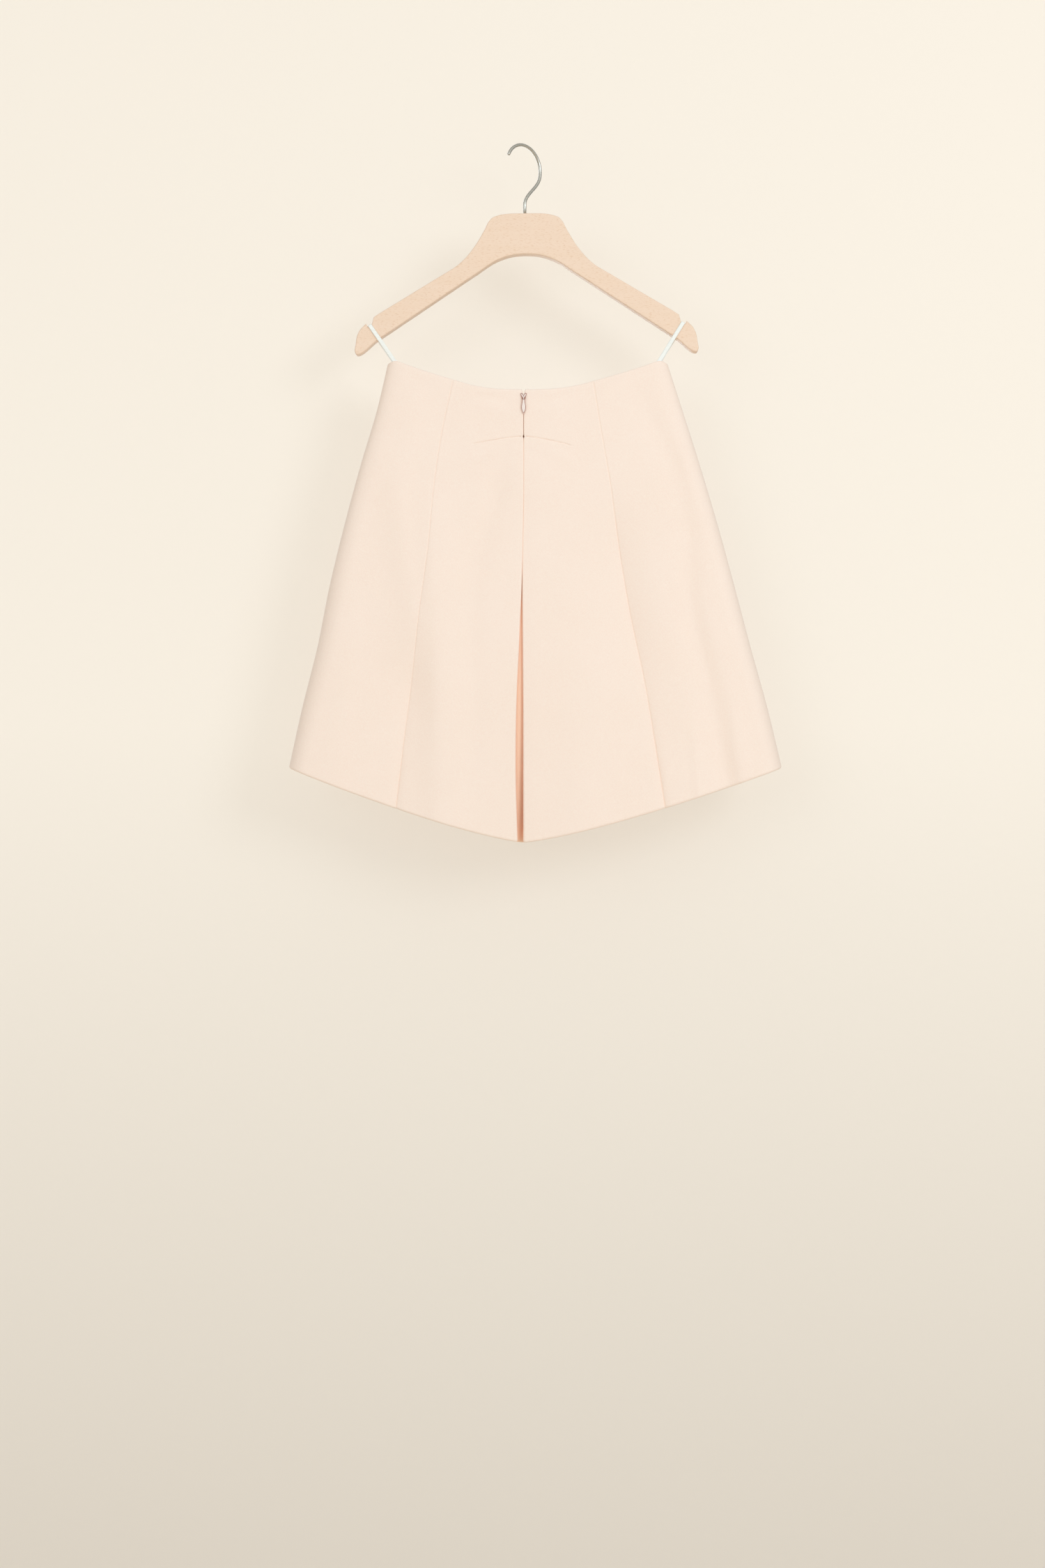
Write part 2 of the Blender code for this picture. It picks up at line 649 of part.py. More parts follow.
def zip_slider(finish, collection, cutters):
    back, front = slider_front()
    half = SLIDER_WIDE_TOP / 2
    plate = box((-half, front, SLIDER_LOW_Z), (half, back, SLIDER_TOP_Z))
    for vert in plate.verts:
        if vert.co.z < (SLIDER_LOW_Z + SLIDER_TOP_Z) / 2 * MM:
            vert.co.x *= SLIDER_WIDE_LOW / SLIDER_WIDE_TOP
    slider = bmesh_object("zip_slider", plate, finish, collection)

    inside = back_y(LEFT, 0.0, down_of(LEFT, 0.0, NECK_TOP_Z)) + CLOTH / 2 + SEAM_GAP
    body = box((-half, inside, SLIDER_LOW_Z), (half, inside + SLIDER_BACK, NECK_TOP_Z))
    combine(slider, bmesh_object("slider_body", body, finish, cutters), "UNION")
    neck = box(
        (-NECK_WIDE / 2, (front + back) / 2, NECK_LOW_Z),
        (NECK_WIDE / 2, inside + SLIDER_BACK / 2, NECK_TOP_Z - NECK_STEP),
    )
    combine(slider, bmesh_object("slider_neck", neck, finish, cutters), "UNION")
    combine(slider, slider_bridge(finish, cutters), "UNION")
    return slider


def zip_pull(finish, collection, cutters):
    """A leaf-shaped pull hanging from its cross bar, with its origin on the bar's axis."""
    axis = pull_axis()
    bm = bmesh.new()
    bmesh.ops.create_grid(bm, x_segments=2, y_segments=LEAF_ROWS, size=1.0)
    for vert in bm.verts:
        along = (1 - vert.co.y) / 2
        x = vert.co.x * read(LEAF, "half", along)
        z = mix(PULL_BAR_HALF, -PULL_LONG, along)
        vert.co = Vector((x, -PULL_THICK / 2, z)) * MM
    faces = list(bm.faces)
    grown = bmesh.ops.extrude_face_region(bm, geom=faces, use_keep_orig=True)
    for item in grown["geom"]:
        if isinstance(item, bmesh.types.BMVert):
            item.co.y += PULL_THICK * MM
    pull = bmesh_object("zip_pull", bm, finish, collection)
    pull.location = axis * MM

    slot = box(
        (-PULL_HOLE_HALF, -PULL_THICK, -PULL_HOLE_END), (PULL_HOLE_HALF, PULL_THICK, -PULL_BAR_HALF)
    )
    hole = bmesh_object("pull_hole", slot, finish, cutters)
    hole.location = axis * MM
    combine(pull, hole, "DIFFERENCE")
    return pull


# --- Hanger ---


def hanger_outline():
    right = [(point.x, point.z, point.corner) for point in HANGER_HALF]
    left = [(-x, z, corner) for x, z, corner in reversed(right[1:-1])]
    return right + left


def hanger(finish, collection, cutters):
    curve = bpy.data.curves.new("hanger_outline", "CURVE")
    curve.dimensions = "2D"
    curve.fill_mode = "BOTH"
    curve.extrude = HANGER_THICK / 2 * MM
    curve.resolution_u = HANGER_CURVE_STEPS
    spline = curve.splines.new("BEZIER")
    points = hanger_outline()
    spline.bezier_points.add(len(points) - 1)
    for target, (x, z, corner) in zip(spline.bezier_points, points):
        target.co = (x * MM, z * MM, 0.0)
        kind = "VECTOR" if corner else "AUTO"
        target.handle_left_type = kind
        target.handle_right_type = kind
    spline.use_cyclic_u = True
    flat = bpy.data.objects.new("hanger_flat", curve)
    collection.objects.link(flat)
    graph = bpy.context.evaluated_depsgraph_get()
    mesh = bpy.data.meshes.new_from_object(flat.evaluated_get(graph))
    bpy.data.objects.remove(flat)

    bm = bmesh.new()
    bm.from_mesh(mesh)
    bpy.data.meshes.remove(mesh)
    bmesh.ops.remove_doubles(bm, verts=bm.verts, dist=WELD * MM)
    bmesh.ops.dissolve_limit(
        bm, angle_limit=FLAT_ANGLE, verts=bm.verts, edges=bm.edges, delimit={"NORMAL"}
    )
    rims = [
        edge
        for edge in bm.edges
        if edge.calc_face_angle(0.0) > RIM_ANGLE
        and edge.verts[0].co.z * edge.verts[1].co.z > 0
    ]
    bmesh.ops.bevel(
        bm,
        geom=rims,
        offset=HANGER_BEVEL * MM,
        offset_type="OFFSET",
        segments=HANGER_BEVEL_STEPS,
        profile=0.5,
        affect="EDGES",
        material=-1,
    )
    bmesh.ops.transform(bm, matrix=hanger_place(), verts=bm.verts)
    wood = bmesh_object("hanger", bm, finish, collection)

    bore = bmesh.new()
    bmesh.ops.create_cone(
        bore,
        cap_ends=True,
        segments=BORE_SIDES,
        radius1=(WIRE_RADIUS + BORE_GAP) * MM,
        radius2=(WIRE_RADIUS + BORE_GAP) * MM,
        depth=2 * BORE_DEEP * MM,
        matrix=Matrix.Translation(Vector((STEM_X, 0.0, HANGER_HALF[0].z)) * MM),
    )
    combine(wood, bmesh_object("hook_bore", bore, finish, cutters), "DIFFERENCE")
    return wood


def hanger_place():
    """Stands the flat outline up in the XZ plane, tilts it about its middle and shifts it."""
    upright = Matrix.Rotation(math.pi / 2, 4, "X")
    tilt = Matrix.Rotation(-HANGER_TILT, 4, "Y")
    to_middle = Matrix.Translation((0, 0, -HANGER_MIDDLE_Z * MM))
    back = Matrix.Translation((HANGER_X * MM, 0, HANGER_MIDDLE_Z * MM))
    return back @ tilt @ to_middle @ upright


def hook_points():
    """From the tip over the top to the back, then down the S bend into the wood."""
    centre_z = WIRE_RADIUS - HOOK_RADIUS
    flat = []
    for i in range(HOOK_STEPS + 1):
        angle = mix(HOOK_TIP_ANGLE, HOOK_BACK_ANGLE, i / HOOK_STEPS)
        flat.append((HOOK_RADIUS * math.cos(angle), centre_z + HOOK_RADIUS * math.sin(angle)))
    start_r, start_z = flat[-1]
    lean = -math.tan(-HOOK_BACK_ANGLE) * (start_z - STEM_BEND_Z)
    for i in range(1, STEM_STEPS + 1):
        t = i / STEM_STEPS
        r = start_r * (1 - eased(t)) + lean * t * (1 - t) ** 2
        flat.append((r, mix(start_z, STEM_BEND_Z, t)))
    flat.append((0.0, HANGER_HALF[0].z - BORE_DEEP + BORE_GAP))
    return [
        (STEM_X * eased(z / STEM_BEND_Z) + r * math.cos(HOOK_TURN), r * math.sin(HOOK_TURN), z)
        for r, z in flat
    ]


# --- Ribbon loops ---


def notch_floor(side):
    """The middle of a notch's floor on the hanger, in the middle of the wood."""
    x = side * (NOTCH_FLOOR_IN.x + NOTCH_FLOOR_OUT.x) / 2
    z = (NOTCH_FLOOR_IN.z + NOTCH_FLOOR_OUT.z) / 2
    return hanger_place() @ Vector((x * MM, z * MM, 0.0)) / MM


def beside_cloth(side, spot):
    """How far from the middle plane a strand lies against the cloth's inner faces."""
    x = abs(spot.x) + RIBBON_WIDE / 2
    down = max(down_of(side, x, spot.z), 0.0)
    room = min(front_y(side, x, down), -back_y(side, x, down))
    return room - CLOTH / 2 - RIBBON_GAP - RIBBON_THICK / 2


def hanger_loop(name, end, finish, collection):
    """A flat ribbon from inside the back panel, over the notch, down inside the front panel."""
    top = notch_floor(end.side)
    foot = Vector((end.x, 0.0, end.z))
    along = (foot - top).normalized()
    across = along.cross(Vector((0, 1, 0))).normalized()
    lift = RIBBON_GAP + RIBBON_THICK / 2
    face = HANGER_THICK / 2 + lift
    reach = (foot - top).length
    strand = [
        (face, RIBBON_ROUND),
        (face, RIBBON_LEAVES),
        (beside_cloth(end.side, foot), reach),
        (beside_cloth(end.side, foot + along * RIBBON_TAIL), reach + RIBBON_TAIL),
    ]
    path = [(-y, down) for y, down in reversed(strand)]
    for y_sign, degrees in RIBBON_TURNS:
        angle = math.radians(degrees)
        y = y_sign * (face - RIBBON_ROUND + RIBBON_ROUND * math.cos(angle))
        path.append((y, RIBBON_ROUND - (RIBBON_ROUND + lift) * math.sin(angle)))
    path += strand

    bm = bmesh.new()
    bmesh.ops.create_grid(bm, x_segments=1, y_segments=len(path) - 1, size=1.0)
    for vert in bm.verts:
        y, down = path[round((vert.co.y + 1) / 2 * (len(path) - 1))]
        spot = top + along * down + across * (vert.co.x * RIBBON_WIDE / 2)
        vert.co = Vector((spot.x, y, spot.z)) * MM
    mesh = bpy.data.meshes.new(name)
    bm.to_mesh(mesh)
    bm.free()
    obj = new_object(name, mesh, finish, collection)
    wall = obj.modifiers.new("ribbon", "SOLIDIFY")
    wall.thickness = RIBBON_THICK * MM
    wall.offset = 0.0
    wall.use_even_offset = True
    return obj


def material(name):
    colour, roughness, metallic = FINISHES[name]
    made = bpy.data.materials.new(name)
    made.use_nodes = True
    made.diffuse_color = colour
    shader = made.node_tree.nodes["Principled BSDF"]
    shader.inputs["Base Color"].default_value = colour
    shader.inputs["Roughness"].default_value = roughness
    shader.inputs["Metallic"].default_value = metallic
    return made


def collection_named(name):
    made = bpy.data.collections.new(name)
    bpy.context.scene.collection.children.link(made)
    return made


def main():
    for obj in list(bpy.data.objects):
        bpy.data.objects.remove(obj)
    parts = collection_named("wool_shorts")
    cutters = collection_named("cutters")
    finish = {name: material(name) for name in FINISHES}

    for side, word in ((LEFT, "left"), (RIGHT, "right")):
        panel("back_" + word, side, CENTRE_BACK, False, finish["wool"], parts)
        panel("back_side_" + word, side, SIDE_BACK, False, finish["wool"], parts)
        panel("front_" + word, side, FRONT, True, finish["wool"], parts)
        zip_tape("zip_tape_" + word, side, finish["zip_tape"], parts)
    for end, word in zip(RIBBON_ENDS, ("left", "right")):
        hanger_loop("hanger_loop_" + word, end, finish["ribbon"], parts)
    zip_coil(finish["zip_coil"], parts)
    zip_slider(finish["enamel"], parts, cutters)
    zip_pull(finish["enamel"], parts, cutters)
    hanger(finish["beech"], parts, cutters)
    wire("hanger_hook", hook_points(), WIRE_RADIUS, finish["steel"], parts)


main()
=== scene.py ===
"""Flared wool shorts seen from the back, hung by two ribbon loops from a beech hanger.

The back faces -Y, +X is to the viewer's right and +Z is up. The garment is worked out as its
solids are: a column is a place on its section, a row is a level between waist and hem. Its pleat
lies a little closer than theirs. Tables and sizes are in millimetres, and turn to metres where a
vertex is placed.
"""

import math
from collections import namedtuple
from functools import lru_cache

import bmesh
import bpy
from mathutils import Matrix, Vector, noise


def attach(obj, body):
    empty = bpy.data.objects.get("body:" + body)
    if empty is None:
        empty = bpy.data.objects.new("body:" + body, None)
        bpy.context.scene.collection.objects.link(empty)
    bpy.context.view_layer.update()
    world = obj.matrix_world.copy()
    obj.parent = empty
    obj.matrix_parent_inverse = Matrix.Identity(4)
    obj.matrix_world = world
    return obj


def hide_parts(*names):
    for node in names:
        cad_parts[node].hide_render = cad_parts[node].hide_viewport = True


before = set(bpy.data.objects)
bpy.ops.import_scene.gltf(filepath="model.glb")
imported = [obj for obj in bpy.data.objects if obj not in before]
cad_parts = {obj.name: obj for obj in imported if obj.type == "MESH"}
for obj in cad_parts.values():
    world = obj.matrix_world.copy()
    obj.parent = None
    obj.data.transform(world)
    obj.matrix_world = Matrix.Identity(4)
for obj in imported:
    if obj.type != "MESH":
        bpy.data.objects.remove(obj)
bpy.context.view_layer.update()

MM = 0.001
LEFT, RIGHT = -1, 1
UPRIGHT = Matrix.Rotation(math.pi / 2, 4, "X")  # stands a flat shape up in the XZ plane

# --- Cloth ---
CLOTH = 1.8  # thickness of the felted wool
SEAM_GAP = 0.3
SIDE_WIDE, SIDE_SHARE = 22.0, 0.76  # each side's rounding, and its share of the body's depth
SIDE_SEAM_FLAT = 1.0
FOLD_FADE = 26.0
ROLL_END = 0.97  # a roll stops just short of upright
CORNER_RADIUS = 4.0
WALL_LEAN = 0.3  # of the legs' inner walls, away from each other at the hem
WALL_SHIFT, WALL_SHIFTED = 5.0, 0.13  # the legs part to the right of the slit, under its edge
PLEAT_DEPTH = 63.0
WAIST_CORNER_Z = -265.0
HEM_CORNER_Z = -757.0
HEM_CENTRE_Z = -847.0
HEM_CURVE = 1.28
FRONT_WAIST_DROP = 8.0
LENGTH = 548.0  # from waist to hem at the centre
ROW_STEP = 4.2
WELD = 0.005  # points of a mesh that lie closer are one

# The folded edges are round: how deep the outer face falls away, and over what distance.
Edge = namedtuple("Edge", "deep wide")
HEM_EDGE = Edge(1.3, 1.9)
WAIST_EDGE = Edge(1.2, 2.2)
SEAM_EDGE = Edge(0.95, 1.3)
PRESSED_SEAM = Edge(0.55, 1.2)
SEAM_PRESS_TOP, SEAM_PRESS_LOW = 0.2, 0.5  # levels over which the princess seams turn flatter
RIM_STEPS = (0.0, 0.3, 0.7, 1.2, 1.9, 3.0)

# The cross seam over the pleat: its level, the rows beside it, its curve and its groove.
SLASH = 0.103
SLASH_STEPS = (-3.0, -1.8, -1.1, -0.65, -0.3, 0.0, 0.3, 0.65, 1.1, 1.8, 3.0)
SLASH_Z = -355.9
SLASH_DROP = {LEFT: 0.0262, RIGHT: 0.0344}
SLASH_CURVE = 1.42
SLASH_LONG = {LEFT: 65.0, RIGHT: 61.0}
SLASH_DEEP, SLASH_WIDE, SLASH_FADE = 0.75, 0.75, 8.0
SLASH_REACH = 0.045  # levels over which the rows swing to follow the cross seam
SWING_FADE, SWING_LOW = 26.0, 0.3
PLEAT_TOP = SLASH + SLASH_STEPS[-1] / LENGTH
NOTCH_Z, NOTCH_HALF, NOTCH_TALL = -356.4, 1.0, 1.5  # the small hole where zip and pleat meet
CROTCH, CROTCH_LOW = 0.546, 0.552
ZIP_VEE, ZIP_VEE_HALF = 0.018, 1.3  # the edges open a little above the slider

EDGE_CLOSED = 0.5  # the pleat's edges touch above its slit
# Pressing squares the folded edge. It wears off towards the hem, where the edge is round.
PRESSED, PRESS_WORN, PRESS_GONE = 0.45, 0.25, 0.55
# The pleat's painted glow, a warm colour that stands in for light bounced from cloth to cloth,
# starts over this stretch of the pleat's edge, and deepens down the pleat.
INSIDE_START, INSIDE_FULL = 0.3, 0.7
INSIDE_GLOW, INSIDE_TOP, INSIDE_LOW = 0.2, 0.2, 0.7

# Levels from 0 at the waist to 1 at the hem. On each side: half the width, then how far out the
# princess seam and the pleat's edge lie. Then how deep the back and the front stand out, and how
# far apart the pleat's layers lie.
Level = namedtuple(
    "Level",
    "down left_half left_seam left_edge right_half right_seam right_edge back_deep front_deep ply",
)
LEVELS = (
    Level(0.00, 164.5, 85.4, 0.4, 174.5, 84.6, 0.4, 16.0, 16.0, 2.7),
    Level(0.12, 178.5, 98.5, 0.4, 193.5, 94.5, 0.4, 18.5, 18.0, 2.7),
    Level(0.25, 197.6, 108.5, 0.55, 213.8, 106.0, 0.2, 22.0, 21.0, 2.2),
    Level(0.40, 217.6, 116.0, 2.2, 235.8, 116.8, -1.2, 25.0, 24.0, 2.2),
    Level(0.55, 235.5, 126.5, 5.4, 256.0, 130.0, -0.8, 28.0, 27.0, 2.3),
    Level(0.70, 250.2, 135.0, 9.0, 275.5, 146.0, -0.2, 30.0, 29.5, 2.5),
    Level(0.85, 268.6, 145.0, 9.8, 295.9, 159.0, -0.1, 32.0, 31.5, 3.4),
    Level(1.00, 285.0, 154.0, 7.6, 313.7, 171.0, -0.1, 34.0, 33.5, 5.0),
)
# The waist edge: its height at each share of the half width.
Waist = namedtuple("Waist", "out z")
WAIST = (
    Waist(0.00, -299.1), Waist(0.20, -298.1), Waist(0.35, -294.7), Waist(0.50, -288.0),
    Waist(0.70, -277.8), Waist(0.85, -269.4), Waist(0.95, -263.5), Waist(1.00, WAIST_CORNER_Z),
)

# Hanging folds and creases. Each follows a path down the panel: x is the distance from the
# centre or from the seam, and lift is the height there, below zero for a valley. The widths are
# those of its inner and outer slopes. A sharp one has a crease at its line, and a rolled one is
# a quarter turn that is steepest there.
Fold = namedtuple("Fold", "side base shape inner outer path")
Spot = namedtuple("Spot", "down x lift")


def path(*spots):
    return tuple(Spot(*spot) for spot in spots)


SEAM, CENTRE = "seam", "centre"
SHARP, SOFT, ROLL = "sharp", "soft", "roll"
BACK_FOLDS = (
    # The right side panel rises from its pressed seam.
    Fold(RIGHT, SEAM, SHARP, 90.0, 42.0, path(
        (0.14, 0, 0.0), (0.26, 0, -1.8), (0.40, 0, -7.2), (0.57, 0, -8.2), (0.73, 0, -5.6),
        (0.88, 0, -3.2), (1.00, 0, -1.8),
    )),
    Fold(RIGHT, SEAM, SHARP, 12.0, 7.0, path(
        (0.20, 0, 0.0), (0.40, 0, -0.4), (0.72, 0, -0.8), (0.88, 0, -2.0), (1.00, 0, -2.4),
    )),
    # The long slanting valley of the right side panel.
    Fold(RIGHT, CENTRE, SOFT, 16.0, 12.0, path(
        (0.03, 138, 0.0), (0.08, 145, -1.2), (0.24, 181, -2.2), (0.40, 198, -2.8),
        (0.57, 202, -4.2), (0.73, 221, -4.4), (0.90, 237, -4.0), (1.00, 246, -4.0),
    )),
    Fold(RIGHT, CENTRE, SOFT, 5.0, 6.0, path(
        (0.80, 204, 0.0), (0.90, 208, 1.5), (1.00, 211, 1.7),
    )),
    Fold(RIGHT, CENTRE, SOFT, 8.0, 14.0, path(
        (0.74, 250, 0.0), (0.90, 257, 2.0), (1.00, 264, 2.0),
    )),
    # Right centre panel: a broad ridge near the hem, and its rolled edge at the pleat.
    Fold(RIGHT, CENTRE, SOFT, 30.0, 44.0, path(
        (0.55, 62, 0.0), (0.75, 66, 2.0), (0.90, 68, 4.2), (1.00, 70, 4.6),
    )),
    Fold(RIGHT, CENTRE, SHARP, 12.0, 20.0, path(
        (0.10, 0, 0.0), (0.20, 0, -0.9), (0.40, 0, -1.4), (0.75, 0, -1.6), (1.00, 0, -2.4),
    )),
    # Left centre panel: a ridge beside the seam, and a slanting valley from the cross seam.
    Fold(LEFT, CENTRE, SOFT, 29.0, 20.0, path(
        (0.24, 108, 0.0), (0.40, 110, 5.2), (0.57, 106, 6.6), (0.73, 102, 6.0), (0.90, 101, 5.0),
        (1.00, 101, 4.6),
    )),
    Fold(LEFT, CENTRE, SOFT, 13.0, 18.0, path(
        (0.11, 20, 0.0), (0.24, 34, -3.0), (0.40, 57, -2.4), (0.57, 62, -2.2), (0.73, 60, -1.6),
        (0.90, 62, -0.8), (1.00, 64, -0.4),
    )),
    Fold(LEFT, SEAM, SHARP, 42.0, 90.0, path(
        (0.56, 0, 0.0), (0.64, 0, -2.0), (0.73, 0, -6.8), (0.90, 0, -5.4), (1.00, 0, -4.6),
    )),
    Fold(LEFT, SEAM, SHARP, 8.0, 14.0, path(
        (0.26, 0, 0.0), (0.40, 0, -0.8), (0.57, 0, -1.2), (0.73, 0, -0.4), (0.90, 0, -1.4),
        (1.00, 0, -1.8),
    )),
    # The left edge of the pleat rolls in under the right one.
    Fold(LEFT, CENTRE, ROLL, 9.0, 9.0, path(
        (0.26, 0, 0.0), (0.40, 0, -1.6), (0.55, 0, -1.8), (0.70, 0, -1.8), (0.80, 0, -2.4),
        (0.90, 0, -4.6), (1.00, 0, -8.5),
    )),
    Fold(LEFT, CENTRE, ROLL, 16.0, 16.0, path(
        (0.50, 0, 0.0), (0.62, 0, -1.2), (0.74, 0, -2.4), (0.88, 0, -3.4), (1.00, 0, -4.0),
    )),
    # Left side panel.
    Fold(LEFT, CENTRE, SOFT, 15.0, 20.0, path(
        (0.03, 127, 0.0), (0.10, 131, 1.6), (0.24, 150, 2.4), (0.40, 146, 3.6), (0.57, 134, 2.2),
        (0.70, 134, 0.0), (1.00, 134, 0.0),
    )),
    Fold(LEFT, CENTRE, SOFT, 20.0, 30.0, path(
        (0.40, 204, 0.0), (0.57, 208, 1.4), (0.73, 214, 2.0), (1.00, 232, 2.4),
    )),
)
FRONT_FOLDS = (
    Fold(LEFT, CENTRE, SOFT, 30.0, 24.0, path(
        (0.10, 68, 0.0), (0.35, 88, 2.6), (0.70, 104, 5.4), (1.00, 122, 6.4),
    )),
    Fold(LEFT, CENTRE, SOFT, 22.0, 18.0, path(
        (0.30, 118, 0.0), (0.55, 142, -2.2), (1.00, 178, -4.6),
    )),
    Fold(LEFT, CENTRE, SOFT, 14.0, 20.0, path(
        (0.22, 22, 0.0), (0.50, 34, -2.2), (0.80, 40, -1.6), (1.00, 46, -1.8),
    )),
    Fold(LEFT, CENTRE, SOFT, 6.0, 6.0, path((0.80, 138, 0.0), (0.92, 142, 1.2), (1.00, 145, 1.4))),
    Fold(RIGHT, CENTRE, SOFT, 26.0, 28.0, path(
        (0.12, 64, 0.0), (0.40, 84, 2.8), (0.75, 112, 5.0), (1.00, 132, 6.6),
    )),
    Fold(RIGHT, CENTRE, SOFT, 20.0, 22.0, path(
        (0.24, 132, 0.0), (0.50, 158, -2.6), (1.00, 204, -4.8),
    )),
    Fold(RIGHT, CENTRE, SOFT, 16.0, 14.0, path(
        (0.34, 26, 0.0), (0.60, 30, -1.8), (1.00, 48, -2.4),
    )),
    Fold(RIGHT, CENTRE, SOFT, 5.0, 6.0, path(
        (0.84, 226, 0.0), (0.94, 230, 1.0), (1.00, 233, 1.2),
    )),
)
# Short creases that pull across the cloth, from an inner to an outer end.
Drag = namedtuple("Drag", "side x_in z_in x_out z_out lift width")
BACK_DRAGS = (
    Drag(LEFT, 14.0, -314.0, 68.0, -304.5, -1.0, 4.6),
    Drag(LEFT, 10.0, -325.5, 58.0, -321.5, 0.6, 6.0),
    Drag(RIGHT, 12.0, -319.0, 56.0, -305.0, -1.1, 4.8),
    Drag(RIGHT, 10.0, -329.5, 50.0, -320.5, 0.6, 6.5),
    Drag(LEFT, 20.0, -369.0, 70.0, -387.0, 0.7, 7.5),
    Drag(RIGHT, 18.0, -370.0, 66.0, -389.0, 0.6, 7.5),
)
# Soft unevenness of the whole cloth: how far apart the swells lie, and how high they are.
Swell = namedtuple("Swell", "across along high seed")
SWELLS = (Swell(85.0, 150.0, 0.9, 3.0), Swell(30.0, 52.0, 0.22, 11.0))
FRONT_SEED = 40.0

# Each panel's cut: its widest and longest sides and its flat area, in metres.
Cut = namedtuple("Cut", "width length area")

# --- Zip ---
TAPE_WIDE, TAPE_THICK = 11.5, 0.6
TAPE_BEHIND = 2.1  # from the middle of the cloth to the tape's front face
ZIP_RAMP_START, ZIP_RAMP_END = 0.050, 0.096
ZIP_TOP, ZIP_LOW = 0.031, 0.33
ZIP_ROWS = 60
COIL_RADIUS, COIL_WIRE, COIL_PITCH = 0.75, 0.24, 1.3
COIL_TURN_STEPS = 10
CAD_PLATE = 0.9  # the solid's plate, on whose face the bridge and the crown stand
SLIDER_PLATE, SLIDER_RIM, SLIDER_ROUND = 0.7, 0.36, 0.08
SLIDER_OUTLINE = (
    (0.0, -306.9), (2.2, -303.5), (3.2, -303.8), (2.9, -306.2), (2.0, -309.0), (1.6, -310.8),
    (0.9, -311.5),
)
CROWN_Z, CROWN_RADIUS, CROWN_PROUD = -309.2, 1.35, 0.1
NECK_HALF, NECK_TOP_Z, NECK_LOW_Z, NECK_ROUND = 0.5, -304.2, -306.4, 0.2
BODY_TOP_Z, BODY_LOW_Z, BODY_HALF, BODY_DEEP, BODY_ROUND = -303.9, -311.4, 3.2, 2.0, 0.4
PULL_AXIS_Z = -309.3
PULL_BAR_HALF = 0.5
PULL_LONG = 19.0
PULL_PLATE, PULL_RIM, PULL_ROUND = 0.5, 0.4, 0.1
PULL_HOLE_HALF, PULL_HOLE_END = 0.7, 2.2
BRIDGE_INNER, BRIDGE_OUTER, BRIDGE_WIDE = 1.0, 1.8, 1.2
BRIDGE_STEPS, RING_STEPS = 16, 32
Leaf = namedtuple("Leaf", "along half")
LEAF = (
    Leaf(0.0, 1.4), Leaf(0.16, 1.6), Leaf(0.4, 2.3), Leaf(0.62, 2.85), Leaf(0.84, 2.1),
    Leaf(1.0, 0.7),
)
LEAF_STEPS = 26

# --- Hanger ---
HANGER_X = 3.0
HANGER_THICK = 14.0
HANGER_ROUND = 1.7
HANGER_MIDDLE_Z = -165.0
HANGER_TILT = math.radians(0.5)
HANGER_CURVE_STEPS = 10
RIM_ANGLE, FLAT_ANGLE = math.radians(60.0), math.radians(0.3)
SHADE_ANGLE = math.radians(35.0)
# The right half of its outline, from the middle of its top to the middle of its underside.
Outline = namedtuple("Outline", "x z corner")
NOTCH_FLOOR_IN = Outline(188.2, -215.7, True)
NOTCH_FLOOR_OUT = Outline(193.3, -218.9, True)
HANGER_HALF = (
    Outline(0.0, -82.4, False), Outline(38.0, -86.2, False), Outline(43.2, -90.0, False),
    Outline(51.0, -103.8, False), Outline(64.0, -124.5, False), Outline(81.6, -143.6, False),
    Outline(100.0, -155.4, True), Outline(178.5, -202.4, True), Outline(185.8, -207.2, True),
    NOTCH_FLOOR_IN, NOTCH_FLOOR_OUT, Outline(195.2, -214.9, True),
    Outline(204.0, -224.5, False), Outline(208.4, -241.0, False), Outline(208.8, -250.4, False),
    Outline(206.2, -252.8, False), Outline(181.6, -235.6, True), Outline(62.0, -156.6, True),
    Outline(30.0, -137.4, False), Outline(0.0, -132.2, False),
)

# --- Hook ---
WIRE_RADIUS = 1.9
HOOK_RADIUS = 27.0
HOOK_TURN = math.radians(42.0)
HOOK_TIP_ANGLE, HOOK_BACK_ANGLE = math.radians(154.0), math.radians(-38.0)
HOOK_STEPS = 72
STEM_X, STEM_BEND_Z, STEM_LOW_Z = 1.5, -70.0, -92.0
STEM_STEPS = 30

# --- Ribbon loops ---
RIBBON_WIDE, RIBBON_THICK, RIBBON_GAP = 4.8, 0.5, 0.3
RIBBON_TAIL = 14.0  # sewn in, below the waist edge
RIBBON_ROUND = 1.6  # of its turns over the notch's two edges
RIBBON_FLAT, RIBBON_LEAVES, RIBBON_BOW = 4.0, 26.0, 0.2  # where it lies on the wood and leaves it
RIBBON_STEPS = 160
# Over each edge of the notch: the face of the wood it starts or ends on, and its turn in degrees.
RIBBON_TURNS = tuple((-1, a) for a in (0, 30, 60, 90)) + tuple((1, a) for a in (90, 60, 30, 0))
Bend = namedtuple("Bend", "at y down")
# Where each loop goes in at the waist edge.
RibbonEnd = namedtuple("RibbonEnd", "side x z")
RIBBON_ENDS = (RibbonEnd(LEFT, -159.2, -259.5), RibbonEnd(RIGHT, 166.6, -260.2))

